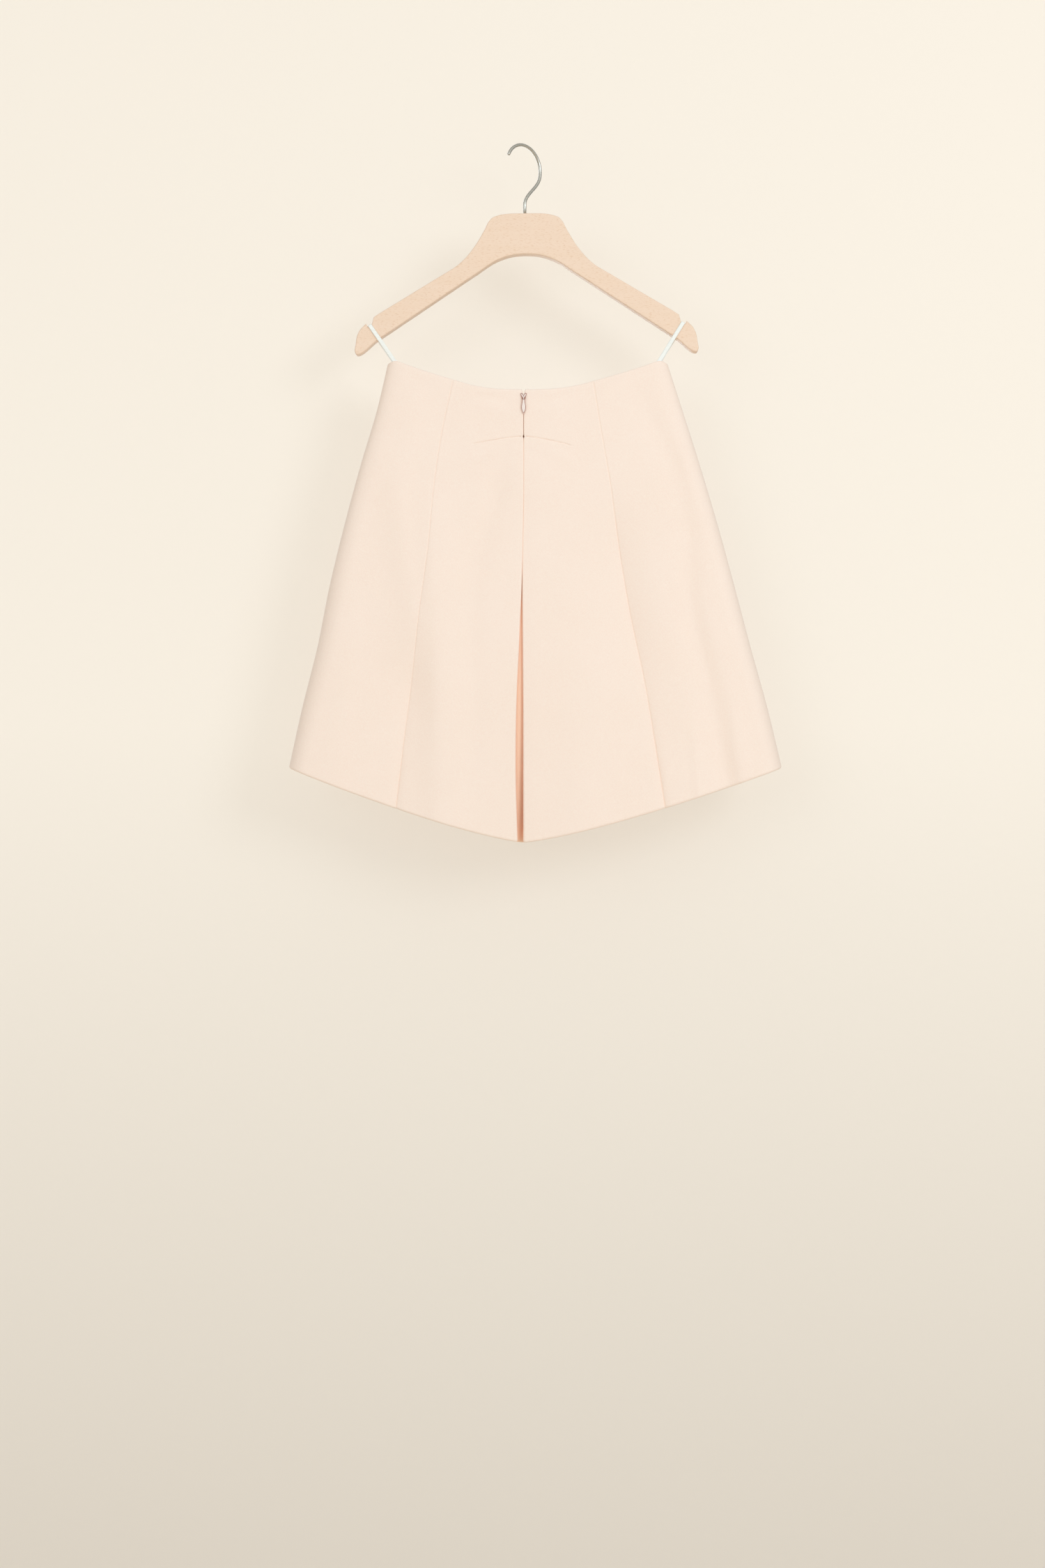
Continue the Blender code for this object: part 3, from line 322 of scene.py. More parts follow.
# --- Camera, light and stage, in metres ---
CAMERA_PLACE = (-0.0013, -2.656, -0.777)
LENS, SENSOR = 50.0, 36.0
AIM = Vector((0.0, 0.0, -0.55))
Lamp = namedtuple("Lamp", "name place size watts")
LAMP_TINT = (0.84, 1.0, 1.16)
LAMPS = (
    Lamp("key", (1.85, -2.3, 0.35), 1.3, 22.0),
    Lamp("fill", (-1.6, -2.5, 0.0), 1.8, 9.3),
    Lamp("back", (-0.5, 2.5, 0.2), 2.0, 30.0),
)
SKY_FRONT, SKY_BEHIND = 0.93, 0.34
SKY_TURN_FRONT, SKY_TURN_BEHIND = -0.5, 0.6
FLOOR_Z, FLOOR_RADIUS = -1.9, 14.0
BACKDROP_Y, BACKDROP_HALF = 0.095, 9.0
BACKDROP_GLOW = 0.5
# Its glow fades towards the floor.
BACKDROP_LOW_Z, BACKDROP_HIGH_Z, BACKDROP_LOW_GLOW = -1.9, -0.7, 0.5


# --- Reading the tables ---


def read(rows, column, place):
    """A table's column at a place between its rows, on a smooth curve through the values."""
    spots = [row[0] for row in rows]
    values = [getattr(row, column) for row in rows]
    last = len(rows) - 1
    place = min(max(place, spots[0]), spots[last])
    low = max(i for i in range(last) if spots[i] <= place)

    def slope(i):
        before, after = max(i - 1, 0), min(i + 1, last)
        return (values[after] - values[before]) / (spots[after] - spots[before])

    span = spots[low + 1] - spots[low]
    t = (place - spots[low]) / span
    rise = values[low + 1] - values[low]
    start, end = slope(low) * span, slope(low + 1) * span
    return (
        values[low]
        + start * t
        + (3 * rise - 2 * start - end) * t**2
        + (start + end - 2 * rise) * t**3
    )


@lru_cache(maxsize=None)
def at_level(column, down):
    return read(LEVELS, column, down)


def level(side, column, down):
    prefix = "left_" if side == LEFT else "right_"
    return at_level(prefix + column, down)


def mix(start, end, t):
    return start + (end - start) * t


def clamp(value, low=0.0, high=1.0):
    return min(max(value, low), high)


def eased(t):
    t = clamp(t)
    return t * t * (3 - 2 * t)


def ramp(value, start, end):
    return eased((value - start) / (end - start))


# --- The garment's surface. x is the distance from the centre, on one side of it. ---


@lru_cache(maxsize=None)
def folds_at(front, side, down):
    """The folds that cross a level: each one's line, widths, shape and height there."""
    found = []
    for fold in FRONT_FOLDS if front else BACK_FOLDS:
        if fold.side == side and down > fold.path[0].down:
            line = read(fold.path, "x", down)
            if fold.base == SEAM:
                line += level(side, "seam", down)
            found.append((line, fold.inner, fold.outer, fold.shape, read(fold.path, "lift", down)))
    return found


def fold_lift(front, side, x, down):
    total = 0.0
    for line, inner, outer_slope, shape, lift in folds_at(front, side, down):
        off = abs(x - line) / (outer_slope if x > line else inner)
        near = max(1 - off, 0.0)
        if shape == SHARP:
            total += lift * near**2
        elif shape == ROLL:
            total += lift * (1 - math.sqrt(1 - (ROLL_END * near) ** 2))
        else:
            total += lift * math.exp(-(off**2))
    return total


def drag_lift(side, x, z):
    total = 0.0
    for drag in BACK_DRAGS:
        t = (x - drag.x_in) / (drag.x_out - drag.x_in)
        if drag.side == side and 0.0 < t < 1.0:
            off = (z - mix(drag.z_in, drag.z_out, t)) / drag.width
            total += drag.lift * math.sin(math.pi * t) * math.exp(-(off**2))
    return total


def swell_lift(side, x, down, seed):
    """Soft swells, the same for every layer of the cloth at one place."""
    return sum(
        swell.high
        * noise.noise(
            Vector((side * x / swell.across, down * LENGTH / swell.along, swell.seed + seed))
        )
        for swell in SWELLS
    )


def stand_out(side, x, down, deep, lift):
    """How far the cloth's middle surface stands from the plane between front and back."""
    half = level(side, "half", down)
    inside = half - x
    turned = clamp(inside / SIDE_WIDE)
    turn_deep = deep * SIDE_SHARE
    rounded = SIDE_SEAM_FLAT + turn_deep * math.sqrt(1 - (1 - turned) ** 2)
    crown = math.sin(math.pi / 2 * clamp(inside / half))
    swell = (deep - turn_deep - SIDE_SEAM_FLAT) * crown
    return rounded + swell + eased(inside / FOLD_FADE) * lift


@lru_cache(maxsize=None)
def back_y(side, x, down):
    z = height(side, x, down, False)
    lift = fold_lift(False, side, x, down) + drag_lift(side, x, z)
    lift += swell_lift(side, x, down, 0.0) * eased(down * LENGTH / FOLD_FADE)
    return -stand_out(side, x, down, at_level("back_deep", down), lift)


@lru_cache(maxsize=None)
def front_y(side, x, down):
    lift = fold_lift(True, side, x, down) + swell_lift(side, x, down, FRONT_SEED)
    return stand_out(side, x, down, at_level("front_deep", down), lift)


def waist_z(side, x, front):
    out = min(x / level(side, "half", 0.0), 1.0)
    drop = FRONT_WAIST_DROP * (1 - out**2) if front else 0.0
    return read(WAIST, "z", out) - drop


def hem_z(out):
    return mix(HEM_CENTRE_Z, HEM_CORNER_Z, min(out, 1.0) ** HEM_CURVE)


def height(side, x, down, front):
    out = max(x, 0.0) / level(side, "half", down)
    top = waist_z(side, out * level(side, "half", 0.0), front)
    return mix(top, hem_z(out), down)


def down_of(side, x, z):
    """The level of a height on the back, at its centre or near the waist."""
    top = waist_z(side, x, False)
    return (z - top) / (hem_z(x / level(side, "half", 0.0)) - top)


def slash_z(side, x):
    return SLASH_Z - SLASH_DROP[side] * max(x, 0.0) ** SLASH_CURVE


def swung(side, x, down):
    """A row's level beside the cross seam, where the rows swing to follow it."""
    near = math.exp(-(((down - SLASH) / SLASH_REACH) ** 2))
    near *= 1 - eased((x - SLASH_LONG[side]) / SWING_FADE)
    reach = min(x, SLASH_LONG[side])
    return down + near * (down_of(side, reach, slash_z(side, reach)) - SLASH)


# --- Places on the section: each returns x and y for t from 0 to 1 along its stretch ---


def side_flat(side, t, down):
    start = level(side, "seam", down) + SEAM_GAP / 2
    x = mix(start, level(side, "half", down) - SIDE_WIDE, t)
    return x, back_y(side, x, down)


def side_round(side, t, down):
    x = level(side, "half", down) - SIDE_WIDE * (1 - math.sin(math.pi / 2 * t))
    return x, back_y(side, x, down)


def side_seam(side, t, down):
    return level(side, "half", down), -mix(SIDE_SEAM_FLAT, SEAM_GAP / 2, t)


def centre_edge(side, down):
    """The outermost face of the folded edge, at the zip and at the pleat below it."""
    z = HEM_CENTRE_Z * down + WAIST[0].z * (1 - down)
    notch = NOTCH_HALF * math.exp(-(((z - NOTCH_Z) / NOTCH_TALL) ** 2))
    if down > SLASH:
        return level(side, "edge", down) - EDGE_CLOSED + notch
    return SEAM_GAP / 2 + ZIP_VEE_HALF * (1 - min(down / ZIP_VEE, 1.0)) + notch


def fold_centre(side, down):
    return centre_edge(side, down) + CLOTH / 2 + at_level("ply", down) / 2


def outer(side, t, down):
    x = mix(level(side, "seam", down) - SEAM_GAP / 2, fold_centre(side, down), t)
    return x, back_y(side, x, down)


def edge_fold(side, t, down):
    radius = at_level("ply", down) / 2
    centre = fold_centre(side, down)
    square = mix(PRESSED, 1.0, ramp(down, PRESS_WORN, PRESS_GONE))
    turn = math.pi * t
    deep = math.copysign(abs(math.cos(turn)) ** square, math.cos(turn))
    x = centre - radius * math.sin(turn) ** square
    return x, back_y(side, centre, down) + radius * (1 - deep)


def return_layer(side, t, down):
    x = mix(fold_centre(side, down), PLEAT_DEPTH, t)
    return x, back_y(side, x, down) + at_level("ply", down)


def inner_fold(side, t, down):
    radius = at_level("ply", down) / 2
    x = PLEAT_DEPTH + radius * math.sin(math.pi * t)
    return x, back_y(side, PLEAT_DEPTH, down) + radius * (3 - math.cos(math.pi * t))


def seam_shift(side, down):
    return side * WALL_SHIFT * ramp(down, CROTCH - WALL_SHIFTED, CROTCH)


def wall_x(side, down):
    lean = WALL_LEAN * ramp(down, CROTCH, 1.0)
    return SEAM_GAP / 2 + CLOTH / 2 + lean + seam_shift(side, down)


def leg_turn_x(side, down):
    if down > CROTCH:
        return wall_x(side, down) + CORNER_RADIUS
    return SEAM_GAP / 2 + seam_shift(side, down)


def underlay(side, t, down):
    x = mix(PLEAT_DEPTH, leg_turn_x(side, down), t)
    return x, back_y(side, x, down) + 2 * at_level("ply", down)


def back_corner(side, t, down):
    x, y = underlay(side, 1.0, down)
    turn = math.pi / 2 * t
    return x - CORNER_RADIUS * math.sin(turn), y + CORNER_RADIUS * (1 - math.cos(turn))


def back_wall(side, t, down):
    x, y = back_corner(side, 1.0, down)
    return x, mix(y, -SEAM_GAP / 2, t)


def front_seam(side, t, down):
    return level(side, "half", down), mix(SEAM_GAP / 2, SIDE_SEAM_FLAT, t)


def front_round(side, t, down):
    x = level(side, "half", down) - SIDE_WIDE * (1 - math.cos(math.pi / 2 * t))
    return x, front_y(side, x, down)


def front_flat(side, t, down):
    x = mix(level(side, "half", down) - SIDE_WIDE, leg_turn_x(side, down), t)
    return x, front_y(side, x, down)


def front_corner(side, t, down):
    x, y = front_flat(side, 1.0, down)
    turn = math.pi / 2 * t
    return x - CORNER_RADIUS * math.sin(turn), y - CORNER_RADIUS * (1 - math.cos(turn))


def front_wall(side, t, down):
    x, y = front_corner(side, 1.0, down)
    return x, mix(y, SEAM_GAP / 2, t)


# --- Panels. Each stretch: its place function, its spots from 0 to 1 and its top level ---


def even(count):
    return [i / count for i in range(count + 1)]


def from_seam(count, width):
    """Even spots, with closer ones beside the seam that the stretch starts from."""
    close = [step / width for step in RIM_STEPS]
    return close + [mix(close[-1], 1.0, i / count) for i in range(1, count + 1)]


def to_seam(count, width):
    return [1.0 - spot for spot in reversed(from_seam(count, width))]


Stretch = namedtuple("Stretch", "place spots top")
SIDE_BACK = (
    Stretch(side_flat, from_seam(34, 100.0), 0.0),
    Stretch(side_round, even(12), 0.0),
    Stretch(side_seam, even(3), 0.0),
)
CENTRE_BACK = (
    Stretch(outer, from_seam(44, 110.0), 0.0),
    Stretch(edge_fold, [0.02, 0.06, 0.12, 0.2, 0.3, 0.4, 0.5], 0.0),
    Stretch(edge_fold, [0.6, 0.7, 0.8, 0.9, 1.0], PLEAT_TOP),
    Stretch(return_layer, even(14), PLEAT_TOP),
    Stretch(inner_fold, even(10), PLEAT_TOP),
    Stretch(underlay, even(16), PLEAT_TOP),
    Stretch(back_corner, even(6), CROTCH_LOW),
    Stretch(back_wall, to_seam(4, 12.0), CROTCH_LOW),
)
FRONT = (
    Stretch(front_seam, even(3), 0.0),
    Stretch(front_round, even(12), 0.0),
    Stretch(front_flat, to_seam(58, 220.0), 0.0),
    Stretch(front_corner, even(6), CROTCH_LOW),
    Stretch(front_wall, to_seam(4, 20.0), CROTCH_LOW),
)


def steps_between(low, high):
    count = max(1, round((high - low) * LENGTH / ROW_STEP))
    return [mix(low, high, i / count) for i in range(1, count)]


def row_levels():
    """Levels from waist to hem, close together at both edges and at the cross seam."""
    rim = [step / LENGTH for step in RIM_STEPS]
    slash = [SLASH + step / LENGTH for step in SLASH_STEPS]
    rows = rim + steps_between(rim[-1], slash[0]) + slash
    rows += steps_between(slash[-1], CROTCH) + [CROTCH, CROTCH_LOW]
    rows += steps_between(CROTCH_LOW, 1 - rim[-1])
    return rows + [1 - step for step in reversed(rim)]


def columns_of(stretches):
    """(place, t, top) for each column: every stretch begins where the one before it ended."""
    columns = []
    for stretch in stretches:
        for spot in stretch.spots:
            if spot > 0.0 or not columns:
                columns.append((stretch.place, spot, stretch.top))
    return columns


def falls(edge, distance):
    """How far an edge's rounding takes the cloth back, at a distance from that edge."""
    return edge.deep * (1 - distance / edge.wide) ** 2 if distance < edge.wide else 0.0


def seam_fall(place, side, x, y, down):
    pressed = ramp(down, SEAM_PRESS_TOP, SEAM_PRESS_LOW)
    princess = Edge(
        mix(SEAM_EDGE.deep, PRESSED_SEAM.deep, pressed),
        mix(SEAM_EDGE.wide, PRESSED_SEAM.wide, pressed),
    )
    if place in (outer, side_flat):
        return falls(princess, max(abs(x - level(side, "seam", down)) - SEAM_GAP / 2, 0.0))
    if place in (side_seam, front_seam, back_wall, front_wall, side_round, front_round):
        return falls(SEAM_EDGE, max(abs(y) - SEAM_GAP / 2, 0.0))
    if place is front_flat and down <= CROTCH:
        return falls(SEAM_EDGE, max(x - SEAM_GAP / 2, 0.0))
    return 0.0


def slash_fall(side, x, z):
    off = (z - slash_z(side, x)) / SLASH_WIDE
    return SLASH_DEEP * math.exp(-(off**2)) * eased((SLASH_LONG[side] - x) / SLASH_FADE)


def pleat_painted_glow(place, t, down):
    """How far into the pleat a place lies, from its pressed edge to its lowest inner folds, as the
    weight of its painted glow.
    """
    if place is edge_fold:
        reach = ramp(t, INSIDE_START, INSIDE_FULL)
    else:
        reach = 1.0 if place in (return_layer, inner_fold, underlay, back_corner) else 0.0
    return reach * mix(INSIDE_GLOW, 1.0, ramp(down, INSIDE_TOP, INSIDE_LOW))


def grid(across, along):
    """A flat grid, to be shaped."""
    bm = bmesh.new()
    bmesh.ops.create_grid(bm, x_segments=across, y_segments=along, size=1.0)
    return bm


def places_on(bm):
    """Each vertex of an unshaped grid, with its place across and along it from 0 to 1."""
    return [(vert, (vert.co.x + 1) / 2, (vert.co.y + 1) / 2) for vert in bm.verts]


def panel(name, side, stretches, front, finish):
    """A sewn panel: a grid of columns and rows, rounded at its edges, then given its thickness."""
    columns, rows = columns_of(stretches), row_levels()
    bm = grid(len(columns) - 1, len(rows) - 1)
    # This attribute weighs each vertex's painted glow, the warm tint standing in for light bounced
    # inside the pleat.
    inside = bm.verts.layers.float.new("pleat_painted_glow")
    cell, spot = {}, {}
    for vert, across, along in places_on(bm):
        column = round(across * (len(columns) - 1))
        row = round(along * (len(rows) - 1))
        cell[vert] = (column, row)
        place, t, _ = columns[column]
        down = rows[row]
        x, y = place(side, t, down)
        if place is outer and down < SWING_LOW:
            down = swung(side, x, down)
            x, y = outer(side, t, down)
        z = height(side, x, down, front)
        spot[vert] = (place, x, y, z, down)
        vert[inside] = pleat_painted_glow(place, t, down)
        vert.co = Vector((side * x, y, z)) * MM
    missing = [
        face
        for face in bm.faces
        if min(rows[cell[v][1]] for v in face.verts)
        < max(columns[cell[v][0]][2] for v in face.verts)
    ]
    bmesh.ops.delete(bm, geom=missing, context="FACES")

    bm.normal_update()
    shown = [v for v in bm.verts if spot[v][0] in (outer, side_flat, front_flat)]
    if (sum(v.normal.y for v in shown) > 0) != front:
        bmesh.ops.reverse_faces(bm, faces=bm.faces)
        bm.normal_update()
    fall = {}
    for vert in bm.verts:
        place, x, y, z, down = spot[vert]
        back = falls(WAIST_EDGE, down * LENGTH) + falls(HEM_EDGE, (1 - down) * LENGTH)
        back = max(back, seam_fall(place, side, x, y, down))
        if place is outer:
            back = max(back, slash_fall(side, x, z))
        fall[vert] = vert.normal * back * MM
    for vert, move in fall.items():
        vert.co -= move
    return thin_piece(name, bm, finish, CLOTH)


# --- Making pieces ---


def placed(name, data):
    obj = bpy.data.objects.new(name, data)
    bpy.context.scene.collection.objects.link(obj)
    return obj


def piece(name, bm, *finishes):
    mesh = bpy.data.meshes.new(name)
    bm.to_mesh(mesh)
    bm.free()
    mesh.shade_smooth()
    for finish in finishes:
        mesh.materials.append(finish)
    return placed(name, mesh)


def thin_piece(name, bm, finish, thick):
    """A piece from its middle surface, with its thickness half to each side."""
    obj = piece(name, bm, finish)
    wall = obj.modifiers.new("thickness", "SOLIDIFY")
    wall.thickness = thick * MM
    wall.offset = 0.0
    return obj


def add_line(curve, points, closed):
    """A line of straight steps through points in millimetres."""
    spline = curve.splines.new("POLY")
    spline.points.add(len(points) - 1)
    for target, point in zip(spline.points, points):
        target.co = (*(Vector(point).to_3d() * MM), 1.0)
    spline.use_cyclic_u = closed


def mesh_of(curve):
    """A curve's mesh, welded."""
    line = placed("line", curve)
    graph = bpy.context.evaluated_depsgraph_get()
    mesh = bpy.data.meshes.new_from_object(line.evaluated_get(graph))
    bpy.data.objects.remove(line)
    bm = bmesh.new()
    bm.from_mesh(mesh)
    bpy.data.meshes.remove(mesh)
    bmesh.ops.remove_doubles(bm, verts=bm.verts, dist=WELD * MM)
    return bm


def tube(points, radius, roundness, closed=False):
    """A round wire along points."""
    curve = bpy.data.curves.new("wire", "CURVE")
    curve.dimensions = "3D"
    curve.bevel_depth = radius * MM
    curve.bevel_resolution = roundness
    curve.use_fill_caps = not closed
    add_line(curve, points, closed)
    bm = mesh_of(curve)
    bmesh.ops.recalc_face_normals(bm, faces=bm.faces)
    return bm


def flat_curve(thick):
    """An empty flat outline that fills itself, with a thickness about its plane."""
    curve = bpy.data.curves.new("outline", "CURVE")
    curve.dimensions = "2D"
    curve.fill_mode = "BOTH"
    curve.extrude = thick / 2 * MM
    return curve


def flat_plate(outlines, thick, round_by):
    """A plate in the XZ plane about y = 0, from closed outlines; the inner ones are holes."""
    curve = flat_curve(thick - 2 * round_by)
    curve.bevel_depth = round_by * MM
    curve.bevel_resolution = 2
    curve.offset = -round_by * MM
    for outline in outlines:
        add_line(curve, outline, True)
    bm = mesh_of(curve)
    bmesh.ops.transform(bm, matrix=UPRIGHT, verts=bm.verts)
    return bm


def shift(bm, by):
    bmesh.ops.translate(bm, vec=Vector(by) * MM, verts=bm.verts)


def join(target, *others):
    """Adds the meshes of other bmeshes to the first one."""
    for other in others:
        mesh = bpy.data.meshes.new("joined")
        other.to_mesh(mesh)
        other.free()
        target.from_mesh(mesh)
        bpy.data.meshes.remove(mesh)
    return target


def two_tone(first, second):
    """Joins a second mesh to the first one, in the piece's second material."""
    for face in second.faces:
        face.material_index = 1
    return join(first, second)


def soften(bm, edges, round_by, segments):
    bmesh.ops.bevel(
        bm,
        geom=edges,
        offset=round_by * MM,
        offset_type="OFFSET",
        segments=segments,
        profile=0.5,
        affect="EDGES",
        material=-1,
    )


def block(low, high, round_by):
    """A box between two corners, with rounded edges."""
    low, high = Vector(low), Vector(high)
    size = Matrix.Diagonal((*((high - low) * MM), 1.0))
    place = Matrix.Translation((low + high) / 2 * MM) @ size
    bm = bmesh.new()
    bmesh.ops.create_cube(bm, size=1.0, matrix=place)
    soften(bm, bm.edges[:], round_by, 3)
    return bm


# --- Zip ---


def zip_y(side, x, down):
    behind = 2 * at_level("ply", down) * ramp(down, ZIP_RAMP_START, ZIP_RAMP_END)
    return back_y(side, x, down) + TAPE_BEHIND + behind


def zip_tape(name, side, finish):
    bm = grid(6, ZIP_ROWS)
    for vert, across, along in places_on(bm):
        x = SEAM_GAP / 2 + TAPE_WIDE * across
        down = mix(ZIP_TOP, ZIP_LOW, along)
        y = zip_y(side, x, down) + TAPE_THICK / 2
        vert.co = Vector((side * x, y, height(side, x, down, False))) * MM
    return thin_piece(name, bm, finish, TAPE_THICK)


def zip_coil(finish):
    """The closed zip's nylon coil: a fine helix down the inside of the tapes."""
    top, low = (height(LEFT, 0.0, down, False) for down in (ZIP_TOP, ZIP_LOW))
    turns = (top - low) / COIL_PITCH
    points = []
    for i in range(int(turns * COIL_TURN_STEPS) + 1):
        angle = 2 * math.pi * i / COIL_TURN_STEPS
        z = top - COIL_PITCH * i / COIL_TURN_STEPS
        y = zip_y(LEFT, 0.0, down_of(LEFT, 0.0, z)) + TAPE_THICK + COIL_RADIUS + COIL_WIRE
        points.append((COIL_RADIUS * math.cos(angle), y + COIL_RADIUS * math.sin(angle), z))
    return piece("zip_teeth", tube(points, COIL_WIRE, 1), finish)


def slider_front():
    """Places of the plate's back and front faces, just clear of the cloth."""
    down = down_of(LEFT, 0.0, BODY_LOW_Z)
    cloth_face = -stand_out(LEFT, 0.0, down, at_level("back_deep", down), 0.0)
    back = cloth_face - CLOTH / 2 - SEAM_GAP
    return back, back - CAD_PLATE


def pull_axis():
    _, front = slider_front()
    return Vector((0.0, front - BRIDGE_INNER, PULL_AXIS_Z))


def slider_bridge():
    """Half a ring about the pull's bar, with its ends in the plate."""
    axis = pull_axis()
    bm = bmesh.new()
    corners = ((BRIDGE_INNER, -1), (BRIDGE_OUTER, -1), (BRIDGE_OUTER, 1), (BRIDGE_INNER, 1))
    section = [
        bm.verts.new((axis + Vector((across * BRIDGE_WIDE / 2, 0.0, radius))) * MM)
        for radius, across in corners
    ]
    profile = bm.faces.new(section)
    bmesh.ops.spin(
        bm,
        geom=[profile, *profile.edges, *profile.verts],
        cent=axis * MM,
        axis=(1, 0, 0),
        angle=math.pi,
        steps=BRIDGE_STEPS,
    )
    ends = (axis.y - BRIDGE_INNER / 8) * MM
    for vert in bm.verts:
        if vert.co.y > ends:
            vert.co.y += (BRIDGE_INNER + CAD_PLATE / 2) * MM
    bmesh.ops.recalc_face_normals(bm, faces=bm.faces)
    return bm


def ring(centre, radius, thick):
    """A closed round wire in the XZ plane."""
    turns = [2 * math.pi * i / RING_STEPS for i in range(RING_STEPS)]
    points = [centre + radius * Vector((math.cos(a), 0.0, math.sin(a))) for a in turns]
    return tube(points, thick, 3, closed=True)


def zip_slider(dark, pale):
    """A pale plate that forks at the top, with a raised rim and a ring for a crown, both dark with
    painted shade for the shadow in the gaps round the slider.
    """
    back, front = slider_front()
    outline = [*SLIDER_OUTLINE, *((-x, z) for x, z in reversed(SLIDER_OUTLINE[1:]))]
    plate = flat_plate([outline], SLIDER_PLATE, SLIDER_ROUND)
    middle = back - SLIDER_PLATE / 2
    shift(plate, (0.0, middle, 0.0))
    inside = back + CLOTH + 2 * SEAM_GAP
    body_deep = inside + BODY_DEEP
    neck_deep = inside + BODY_DEEP / 2
    body = block((-BODY_HALF, inside, BODY_LOW_Z), (BODY_HALF, body_deep, BODY_TOP_Z), BODY_ROUND)
    neck = block((-NECK_HALF, middle, NECK_LOW_Z), (NECK_HALF, neck_deep, NECK_TOP_Z), NECK_ROUND)
    rim = [(x, middle - SLIDER_PLATE / 3, z) for x, z in outline]
    # The rim and the crown ring are dark: painted shade standing in for the shadow in the gaps
    # round the slider.
    painted_rim_shade = join(
        tube(rim, SLIDER_RIM, 3, closed=True),
        ring(Vector((0.0, front - CROWN_PROUD, CROWN_Z)), CROWN_RADIUS, SLIDER_RIM),
    )
    return piece("slider", two_tone(join(plate, body, neck, slider_bridge()), painted_rim_shade), pale, dark)


def leaf_outline(inset=0.0):
    """Points round the pull's edge, from the bar down one side and up the other."""
    right = []
    for i in range(LEAF_STEPS + 1):
        along = i / LEAF_STEPS
        z = mix(PULL_BAR_HALF - inset, inset - PULL_LONG, along)
        right.append((read(LEAF, "half", along) - inset, z))
    tip = [
        (right[-1][0] * math.cos(turn), right[-1][1] - right[-1][0] * math.sin(turn) / 2)
        for turn in (math.pi / 4, math.pi / 2, 3 * math.pi / 4)
    ]
    return right + tip + [(-x, z) for x, z in reversed(right)]


def zip_pull(dark, pale):
    """A pale leaf with a raised rim, dark with painted shade for the shadow gap round it, hung by
    its bar from the slider's bridge.
    """
    hole = [
        (-PULL_HOLE_HALF, -PULL_BAR_HALF), (-PULL_HOLE_HALF, -PULL_HOLE_END),
        (PULL_HOLE_HALF, -PULL_HOLE_END), (PULL_HOLE_HALF, -PULL_BAR_HALF),
    ]
    plate = flat_plate([leaf_outline(), hole], PULL_PLATE, PULL_ROUND)
    # The rim is dark: painted shade standing in for the shadow gap round the pull.
    edge = [(x, 0.0, z) for x, z in leaf_outline(PULL_RIM)]
    bm = two_tone(plate, tube(edge, PULL_RIM, 3, closed=True))
    shift(bm, pull_axis())
    return piece("pull_tab", bm, pale, dark)


# --- Hanger ---


def hanger_place():
    """Stands the flat outline up, tilts it about its middle and shifts it."""
    tilt = Matrix.Rotation(-HANGER_TILT, 4, "Y")
    to_middle = Matrix.Translation((0, 0, -HANGER_MIDDLE_Z * MM))
    back = Matrix.Translation((HANGER_X * MM, 0, HANGER_MIDDLE_Z * MM))
    return back @ tilt @ to_middle @ UPRIGHT


def hanger(finish):
    outline = [*HANGER_HALF, *(point._replace(x=-point.x) for point in HANGER_HALF[-2:0:-1])]
    curve = flat_curve(HANGER_THICK)
    curve.resolution_u = HANGER_CURVE_STEPS
    spline = curve.splines.new("BEZIER")
    spline.bezier_points.add(len(outline) - 1)
    for target, point in zip(spline.bezier_points, outline):
        target.co = (point.x * MM, point.z * MM, 0.0)
        target.handle_left_type = "VECTOR" if point.corner else "AUTO"
        target.handle_right_type = target.handle_left_type
    spline.use_cyclic_u = True
    bm = mesh_of(curve)
    bmesh.ops.dissolve_limit(
        bm, angle_limit=FLAT_ANGLE, verts=bm.verts, edges=bm.edges, delimit={"NORMAL"}
    )
    rims = [
        edge
        for edge in bm.edges
        if edge.calc_face_angle(0.0) > RIM_ANGLE and edge.verts[0].co.z * edge.verts[1].co.z > 0
    ]
    soften(bm, rims, HANGER_ROUND, 4)
    bmesh.ops.transform(bm, matrix=hanger_place(), verts=bm.verts)
    wood = piece("beech_hanger", bm, finish)
    wood.data.set_sharp_from_angle(angle=SHADE_ANGLE)
    wood.modifiers.new("even_shading", "WEIGHTED_NORMAL").keep_sharp = True
    return wood


def hook(finish):
    """From the tip over the top to the back, then down the S bend into the wood."""
    centre_z = WIRE_RADIUS - HOOK_RADIUS
    flat = []
    for i in range(HOOK_STEPS + 1):
        angle = mix(HOOK_TIP_ANGLE, HOOK_BACK_ANGLE, i / HOOK_STEPS)
        flat.append((HOOK_RADIUS * math.cos(angle), centre_z + HOOK_RADIUS * math.sin(angle)))
    start_r, start_z = flat[-1]
    lean = -math.tan(-HOOK_BACK_ANGLE) * (start_z - STEM_BEND_Z)
    for i in range(1, STEM_STEPS + 1):
        t = i / STEM_STEPS
        r = start_r * (1 - eased(t)) + lean * t * (1 - t) ** 2
        flat.append((r, mix(start_z, STEM_BEND_Z, t)))
    flat.append((0.0, STEM_LOW_Z))
    points = [
        (STEM_X * eased(z / STEM_BEND_Z) + r * math.cos(HOOK_TURN), r * math.sin(HOOK_TURN), z)
        for r, z in flat
    ]
    wire = tube(points, WIRE_RADIUS, 5)
    tip = bmesh.new()
    bmesh.ops.create_uvsphere(
        tip,
        u_segments=24,
        v_segments=12,
        radius=WIRE_RADIUS * MM,
        matrix=Matrix.Translation(Vector(points[0]) * MM),
    )
    return piece("steel_hook", join(wire, tip), finish)


# --- Ribbon loops ---


def beside_cloth(side, spot):
    x = abs(spot.x) + RIBBON_WIDE / 2
    down = max(down_of(side, x, spot.z), 0.0)
    room = min(front_y(side, x, down), -back_y(side, x, down))
    return room - CLOTH / 2 - RIBBON_GAP - RIBBON_THICK / 2


